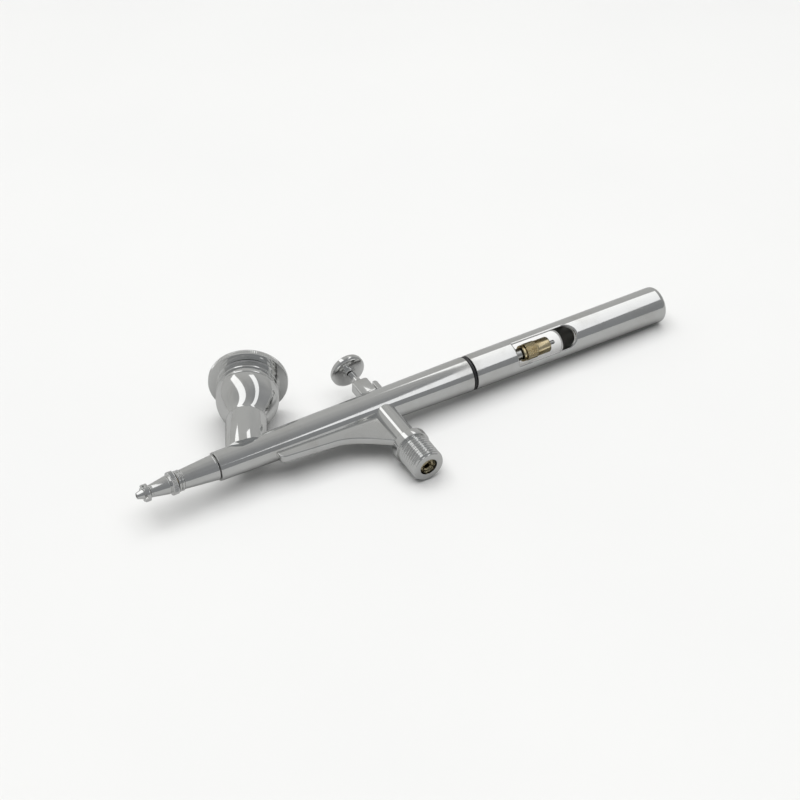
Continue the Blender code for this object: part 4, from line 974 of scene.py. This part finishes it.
def makeAuxiliaryLever():
    side = reach("auxiliary_lever", sideways, leverPivot)
    top = reach("auxiliary_lever", upTrigger, leverPivot)[1]
    boss = auxiliaryLever["boss"]
    tip = auxiliaryLever["thickness"] / 2
    rear = auxiliaryLever["thickness"] - boss
    meet = atan2(sqrt(boss ** 2 - rear ** 2), rear) * 180 / pi
    outline = arc(0.0, 0.0, boss, -180, meet, 24)
    outline += arc(rear - tip, top - tip, tip, 0, 180, 16)
    piece = platePiece("auxiliaryLever", outline, side[1] - side[0], leverPivot,
                       auxiliaryLever["edge"])
    rise = (needleTip - leverPivot).dot(upTrigger) + 0.1 * mm
    far = auxiliaryLever["holeReach"]
    for hole, origin, direction in (("pinHole", leverPivot, sideways),
                                    ("needleHole", leverPivot + upTrigger * rise, alongBarrel)):
        radius = auxiliaryLever[hole]
        carve(piece, rodTool(hole + "Tool", -far, radius, far, radius, 32, origin, direction))
    shadeEdges(piece.data)
    return dress(piece, chrome, "lever", "chrome", "auxiliary_lever")


# needle assembly

needleTube = {"head": 4.45 * mm, "cheek": 2.65 * mm, "fork": 1.75 * mm, "slit": 0.2 * mm,
              "slitAhead": 3.0 * mm, "collet": 1.5 * mm, "bore": 1.0 * mm, "edge": 0.12 * mm}


def makeNeedleTube():
    front, rear = reach("needle_tube")
    head = girth("needle_tube")
    tube = girth("needle_tube", low=front + 8 * mm, high=rear - 7.5 * mm)
    step = reach("chuck_nut")[0] - pieceGap
    flange = front + needleTube["head"]
    edge = needleTube["edge"]
    bore = needleTube["bore"]
    points = [(front, bore, 0), (front, head, edge), (flange, head, edge), (flange, tube, crisp),
              (step, tube, edge), (step, needleTube["collet"], crisp),
              (rear, needleTube["collet"], edge), (rear, bore, 0)]
    piece = turnedPiece("needleTube", points, needleTip, alongBarrel, 96)
    for low, high, half in ((front - mm, front + needleTube["cheek"], needleTube["fork"]),
                            (step - needleTube["slitAhead"], rear + mm, needleTube["slit"])):
        outline = [(low, -2 * head), (high, -2 * head), (high, 2 * head), (low, 2 * head)]
        carve(piece, platePiece("forkTool", outline, 2 * half, needleTip))
    shadeEdges(piece.data)
    return dress(piece, turnedSteel, "needle_carrier", "steel", "needle_tube")


needleShape = {"point": 0.03 * mm, "fineTaper": 3.0 * mm, "fineRadius": 0.16 * mm,
               "taper": 14.0 * mm, "end": 0.3 * mm}


def makeNeedle():
    front, rear = reach("needle")
    radius = girth("needle")
    points = [(front, 0.0, 0), (front + 0.01 * mm, needleShape["point"], 0),
              (front + needleShape["fineTaper"], needleShape["fineRadius"], mm),
              (front + needleShape["taper"], radius, mm),
              (rear, radius, needleShape["end"]), (rear, 0.0, 0)]
    piece = turnedPiece("needle", points, needleTip, alongBarrel, 40, closed=False)
    piece.name = "fluidNeedle"
    return dress(piece, needleSteel, "needle_carrier", "steel", "needle")


# the brown colour in this table is painted shade, which the nut turns to toward its axis, in its
# groove and bores
chuckNut = {"crossings": 22, "depth": 0.26 * mm, "lead": 0.62 * mm, "shoulder": 4.9 * mm,
            "edge": 0.22 * mm, "collar": 0.9 * mm, "groove": 0.35 * mm,
            "valleyShade": (0.36, 0.27, 0.14), "bore": 1.8 * mm, "hole": 1.0 * mm, "floor": 1.6 * mm}


def makeChuckNut():
    front, rear = reach("chuck_nut")
    radius = girth("chuck_nut")
    slim = girth("chuck_nut", low=rear - mm, high=rear)
    shoulder = front + chuckNut["shoulder"]
    collar = front + chuckNut["collar"]
    groove = chuckNut["groove"]
    edge = chuckNut["edge"]
    lip = radius - 0.1 * mm
    neck = slim - 0.35 * mm
    step = slim - 0.1 * mm
    bore, hole, floorAt = chuckNut["bore"], chuckNut["hole"], rear - chuckNut["floor"]
    points = [(front, bore, 0), (front, lip, edge), (collar, lip, edge),
              (collar, neck, crisp), (collar + groove, neck, crisp),
              (collar + groove, radius, edge), (shoulder, radius, edge),
              (shoulder, step, crisp), (shoulder + groove / 2, step, crisp),
              (shoulder + groove, slim, 0.08 * mm), (rear, slim, 0.45 * mm),
              (rear, hole, 0), (floorAt, hole, 0), (floorAt, bore, 0)]
    start = collar + groove

    def crossed(height, reached, angle):      # diamonds left by two crossing sets of grooves
        if not start < height < shoulder or reached < 2 * mm:
            return reached
        ends = min(1.0, (height - start) / (0.3 * mm), (shoulder - height) / (0.3 * mm))
        along = pi * height / chuckNut["lead"]
        around = chuckNut["crossings"] * angle
        deepest = max(0.5 - 0.5 * cos(around + along), 0.5 - 0.5 * cos(around - along))
        return reached - chuckNut["depth"] * ends * deepest ** 2

    piece = turnedPiece("chuckNut", points, needleTip, alongBarrel, chuckNut["crossings"] * 10,
                        relief=crossed, fine=(0.08 * mm, collar, shoulder), sharp=55.0)
    # painted shade: below these radii the brass turns to the brown shade colour
    look = dict(brassLook, cut=(slim - 0.25 * mm, slim - 0.02 * mm, chuckNut["valleyShade"]))
    return dress(piece, metal("knurledBrass", look), "nut", "brass", "chuck_nut")


springCase = {"edge": 0.15 * mm, "neck": 2.9 * mm, "wall": 0.5 * mm, "pitch": 0.5 * mm,
              "threadDepth": 0.12 * mm, "neckLength": 4.0 * mm, "threadLength": 9 * mm,
              "hole": 2.15 * mm, "floor": 0.5 * mm}


def makeSpringCase():
    front, rear = reach("spring_case")
    radius = girth("spring_case")
    shoulder = rear - springCase["neckLength"]
    edge = springCase["edge"]
    neck = springCase["neck"]
    inner = radius - springCase["wall"]
    hole, floorAt = springCase["hole"], shoulder - springCase["floor"]
    points = [(front, inner, 0), (front, radius, edge), (shoulder, radius, edge),
              (shoulder, neck, crisp), (rear, neck, edge), (rear, hole, 0), (floorAt, hole, 0),
              (floorAt, inner, 0)]
    pitch = springCase["pitch"]
    threadEnd = front + springCase["threadLength"]

    def threadRelief(height, reached, angle):
        if height > threadEnd or height < front + edge or reached < radius - 0.3 * mm:
            return reached
        turns = height / pitch - angle / (2 * pi)
        return reached - springCase["threadDepth"] * abs(2 * (turns - floor(turns)) - 1)

    piece = turnedPiece("springCase", points, needleTip, alongBarrel, 96, relief=threadRelief,
                        fine=(0.1 * mm, front, threadEnd), sharp=60.0)
    return dress(piece, turnedSteel, "body", "steel", "spring_case")


# rear end

jointRing = {"edge": 0.18 * mm, "inset": 0.55 * mm}


def makeJointRing():
    outer = girth("joint_ring")
    inner = bodyRearRadius - jointRing["inset"]
    points = [(ringFront, inner, 0), (ringFront, outer, jointRing["edge"]),
              (ringRear, outer, jointRing["edge"]), (ringRear, inner, 0)]
    piece = turnedPiece("jointRing", points, needleTip, alongBarrel, 128)
    return dress(piece, blackRubber, "body", "black_rubber", "joint_ring")


handleShape = {"windowFrom": 14.3 * mm, "windowTo": 34.6 * mm, "windowHalf": 3.5 * mm,
               "lip": 0.55 * mm, "rounding": 1.5 * mm, "edge": 0.12 * mm, "sides": 256,
               "cavityPast": 4.0 * mm, "cavityCone": 2.0 * mm, "socketInset": 0.55 * mm,
               "socketDepth": 5.3 * mm, "cavityInset": 1.15 * mm, "step": 0.14 * mm}


def windowFacing():
    # the window's direction round the barrel: the middle of the corners at its front end
    start = reach("handle")[0] + handleShape["windowFrom"]
    doubled = Vector((0.0, 0.0))
    for point in corners("handle"):
        offset = point - needleTip
        if abs(offset.dot(alongBarrel) - start) > 0.1 * mm:
            continue
        angle = 2 * atan2(offset.dot(upTrigger), offset.dot(sideways))
        doubled += Vector((cos(angle), sin(angle)))
    return atan2(doubled.y, doubled.x) / 2


def makeHandle():
    front, rear = reach("handle")
    frontRadius = girth("handle", low=front - mm, high=front + 0.2 * mm)
    rearRadius = girth("handle", low=rear - 2 * mm, high=rear)
    socket = bodyRearRadius - handleShape["socketInset"]
    cavity = bodyRearRadius - handleShape["cavityInset"]
    socketRear = front + handleShape["socketDepth"]
    start = front + handleShape["windowFrom"]
    end = front + handleShape["windowTo"]
    half = handleShape["windowHalf"]
    cavityRear = end + handleShape["cavityPast"]
    edge = handleShape["edge"]
    points = [(front, socket, 0), (front, frontRadius, edge),
              (rear, rearRadius, handleShape["rounding"]), (rear, 0.6 * mm, 0.1 * mm),
              (rear - 0.25 * mm, 0.0, 0)]
    inside = [(cavityRear + handleShape["cavityCone"], 0.0, 0), (cavityRear, cavity, 0),
              (socketRear, cavity, 0), (socketRear, socket, 0), (front, socket, 0)]
    outside = lengthwiseSlot(start, end, half, False)
    facing = windowFacing()
    # the local frame's X is sideways and its Y runs along direction x X
    localY = alongBarrel.cross(sideways)
    way = sideways * cos(facing) + upTrigger * sin(facing)
    localAngle = atan2(way.dot(localY), way.dot(sideways))
    curl = roundedLip(outside, handleShape["lip"], localAngle, True)

    def wallRelief(height, radius, angle):
        return curl(height, radius, angle) if radius > cavity + 0.6 * mm else radius

    step = handleShape["step"]
    line = divided(softened(inside + points[1:], 6), step, start - mm, start + mm)
    line = divided(line, step, end - half - mm, end + mm)
    line = divided(line, 0.8 * mm, start + mm, end - half - mm)
    shape = bmesh.new()
    spin(shape, line, handleShape["sides"], False, wallRelief)
    piece = finishMesh("rearHandle", shape, localFrame(needleTip, alongBarrel))
    outline = slotOutline(start, end, half, False, 40)
    carve(piece, platePiece("windowTool", outline, 6 * rearRadius, needleTip,
                            axes=(alongBarrel, way.cross(alongBarrel), way)))

    def smoothRadius(height):
        return frontRadius + (rearRadius - frontRadius) * (height - front) / (rear - front)

    outerNormals(piece, smoothRadius)
    dress(piece, chrome, "rear_handle", "chrome", "handle")
    lineBore(piece, cavity + 0.05 * mm, rear - mm)
    return piece


# springs

needleSpring = {"wire": 0.22 * mm, "turns": 9, "closed": 1.2, "detail": 36}
valveSpring = {"wire": 0.2 * mm, "turns": 4, "closed": 1.0, "detail": 36}


def makeSpring(name, look, node, origin, direction):
    # a coil of wire along direction, from the node's low end to its high end
    low, high = reach(node, direction, origin)
    wire = look["wire"]
    radius = girth(node, direction, origin) - wire
    count = int(look["turns"] * look["detail"]) + 1
    curve = bpy.data.curves.new(name, 'CURVE')
    curve.dimensions = '3D'
    curve.bevel_depth = wire
    curve.bevel_resolution = 4
    curve.use_fill_caps = True
    line = curve.splines.new('POLY')
    line.points.add(count - 1)
    share = look["closed"] / look["turns"]
    for index, point in enumerate(line.points):
        along = index / (count - 1)
        eased = along - 0.3 * share * sin(2 * pi * along)      # the end turns lie closer together
        angle = 2 * pi * look["turns"] * along
        height = low + wire + eased * (high - low - 2 * wire)
        point.co = (radius * cos(angle), radius * sin(angle), height, 1.0)
    coil = addObject("coil", curve)
    graph = bpy.context.evaluated_depsgraph_get()
    mesh = bpy.data.meshes.new_from_object(coil.evaluated_get(graph))
    bpy.data.objects.remove(coil)
    mesh.name = name
    mesh.transform(localFrame(origin, direction))
    mesh.shade_smooth()
    mesh.materials.clear()
    mesh.materials.append(springSteel)
    spring = addObject(name, mesh)
    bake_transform(spring)
    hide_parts(node)
    return spring


# pieces inside, kept from the model

keptNodes = {"fluid_nozzle": brass, "packing_screw": brass, "valve_plunger": brass,
             "valve_guide": brass, "head_seal": whitePacking, "needle_packing": whitePacking,
             "plunger_seal": blackRubber, "lever_pin": turnedSteel}


def dressKeptNodes():
    for name, material in keptNodes.items():
        node = frame["nodes"][name]
        node.data.materials.clear()
        node.data.materials.append(material)
        if name != "plunger_seal":
            edge = node.modifiers.new("edge", 'BEVEL')
            edge.width = 0.06 * mm
            edge.segments = 2
            edge.limit_method = 'ANGLE'
            edge.angle_limit = radians(50)


makeCrownCap()
makeNozzleCap()
makeHeadSleeve()
print("head made")
makeMainBody()
makePaintCup()
makeCupLid()
makeFingerRest()
print("body and cup made")
makeValveBody()
makeTriggerPad()
makeTriggerLever()
makeAuxiliaryLever()
print("valve and trigger made")
makeNeedleTube()
makeNeedle()
makeChuckNut()
makeSpringCase()
makeJointRing()
makeHandle()
print("needle assembly and handle made")
makeSpring("needleSpring", needleSpring, "needle_spring", needleTip, alongBarrel)
makeSpring("valveSpring", valveSpring, "valve_spring", valveRoot, downValve)
dressKeptNodes()
print("springs made, inner pieces dressed")


# floor, light and camera

# floorInMetal darkens the board only where the metal mirrors it: a painted reflection
studio = {"floorSize": 6.0, "floorTone": (0.80, 0.80, 0.79), "floorDull": (0.76, 0.76, 0.755),
          "floorInMetal": 0.45, "front": (0.22, 0.225, 0.23), "back": (0.42, 0.42, 0.41)}


def makeFloor():
    shape = bmesh.new()
    bmesh.ops.create_grid(shape, x_segments=2, y_segments=2, size=studio["floorSize"] / 2)
    mesh = bpy.data.meshes.new("floor")
    shape.to_mesh(mesh)
    shape.free()
    floorPiece = addObject("floor", mesh)
    floorPiece.location = (0, 0, cadLow.z)
    material, tree, shader, place = startMaterial("paleBoard")
    cloud = addNode(tree, "ShaderNodeTexNoise", {"Vector": place, "Scale": 9.0, "Detail": 3.0})
    tone = blendTones(tree, cloud.outputs["Fac"], studio["floorTone"], studio["floorDull"])
    # painted reflection: the board is darker in glossy rays only, so the metal mirrors it darker
    # than it looks, as it would over a dark lining
    rays = addNode(tree, "ShaderNodeLightPath")
    dark = [channel * studio["floorInMetal"] for channel in studio["floorTone"]]
    mirrored = blendTones(tree, rays.outputs["Is Glossy Ray"], tone, dark)
    tree.links.new(mirrored, shader.inputs["Base Color"])
    shader.inputs["Roughness"].default_value = 0.75
    mesh.materials.append(material)


def makeWorld():      # a dim room, a little lighter behind the object than in front of it
    world = bpy.data.worlds.new("softRoom")
    bpy.context.scene.world = world
    world.use_nodes = True
    tree = world.node_tree
    direction = addNode(tree, "ShaderNodeTexCoord").outputs["Generated"]
    parts = addNode(tree, "ShaderNodeSeparateXYZ", {"Vector": direction})
    cloud = addNode(tree, "ShaderNodeTexNoise", {"Vector": direction, "Scale": 2.2, "Detail": 2.0})
    wander = calculate(tree, 'ADD', cloud.outputs["Fac"], parts.outputs["Y"])
    share = addNode(tree, "ShaderNodeMapRange", {"Value": wander, "From Min": -0.4, "From Max": 1.4},
                    interpolation_type='SMOOTHSTEP')
    tone = blendTones(tree, share.outputs["Result"], studio["front"], studio["back"])
    background = tree.nodes["Background"]
    tree.links.new(tone, background.inputs["Color"])
    background.inputs["Strength"].default_value = 1.0


# softboxes hung over the object: from x, to x, from y, to y, height, brightness, seen in metal
lamps = {
    "rightPanel": (0.50, 0.86, -1.70, 0.75, 1.0, 0.68, True),
    "leftPanel": (-0.52, -0.12, -0.30, 2.00, 1.0, 0.72, True),
    "overheadFill": (-0.8, 0.8, -1.0, 1.0, 1.4, 2.3, False)}


def makeLamps():
    for name, (left, right, near, far, height, brightness, seen) in lamps.items():
        lamp = bpy.data.lights.new(name, 'AREA')
        lamp.shape = 'RECTANGLE'
        lamp.size = right - left
        lamp.size_y = far - near
        lamp.energy = brightness * pi * lamp.size * lamp.size_y
        holder = addObject(name, lamp)
        holder.location = ((left + right) / 2, (near + far) / 2, height)
        holder.visible_glossy = seen


# the camera: turned round the barrel's own frame, aimed at a station along the barrel
cameraView = {"azimuth": -31.66, "elevation": 41.89, "roll": 2.01, "distance": 0.5026,
              "station": 81.22 * mm, "aside": -0.51 * mm, "lens": 79.43}


def makeCamera():
    lens = bpy.data.cameras.new("camera")
    lens.lens = cameraView["lens"]
    lens.sensor_width = 36.0
    lens.clip_start = 0.01
    camera = addObject("camera", lens)
    turn, tilt = radians(cameraView["azimuth"]), radians(cameraView["elevation"])
    roll = radians(cameraView["roll"])
    back = (alongBarrel * (sin(turn) * cos(tilt)) - upTrigger * (cos(turn) * cos(tilt))
            + sideways * sin(tilt))
    right = sideways.cross(back).normalized()
    up = back.cross(right)
    rolledRight = right * cos(roll) + up * sin(roll)
    rolledUp = up * cos(roll) - right * sin(roll)
    aim = needleTip + alongBarrel * cameraView["station"] + upTrigger * cameraView["aside"]
    place = Matrix((rolledRight, rolledUp, back)).transposed().to_4x4()
    place.translation = aim + back * cameraView["distance"]
    camera.matrix_world = place
    bpy.context.scene.camera = camera


makeFloor()
makeWorld()
makeLamps()
makeCamera()
bpy.context.scene.view_settings.view_transform = 'Standard'
print("studio made")
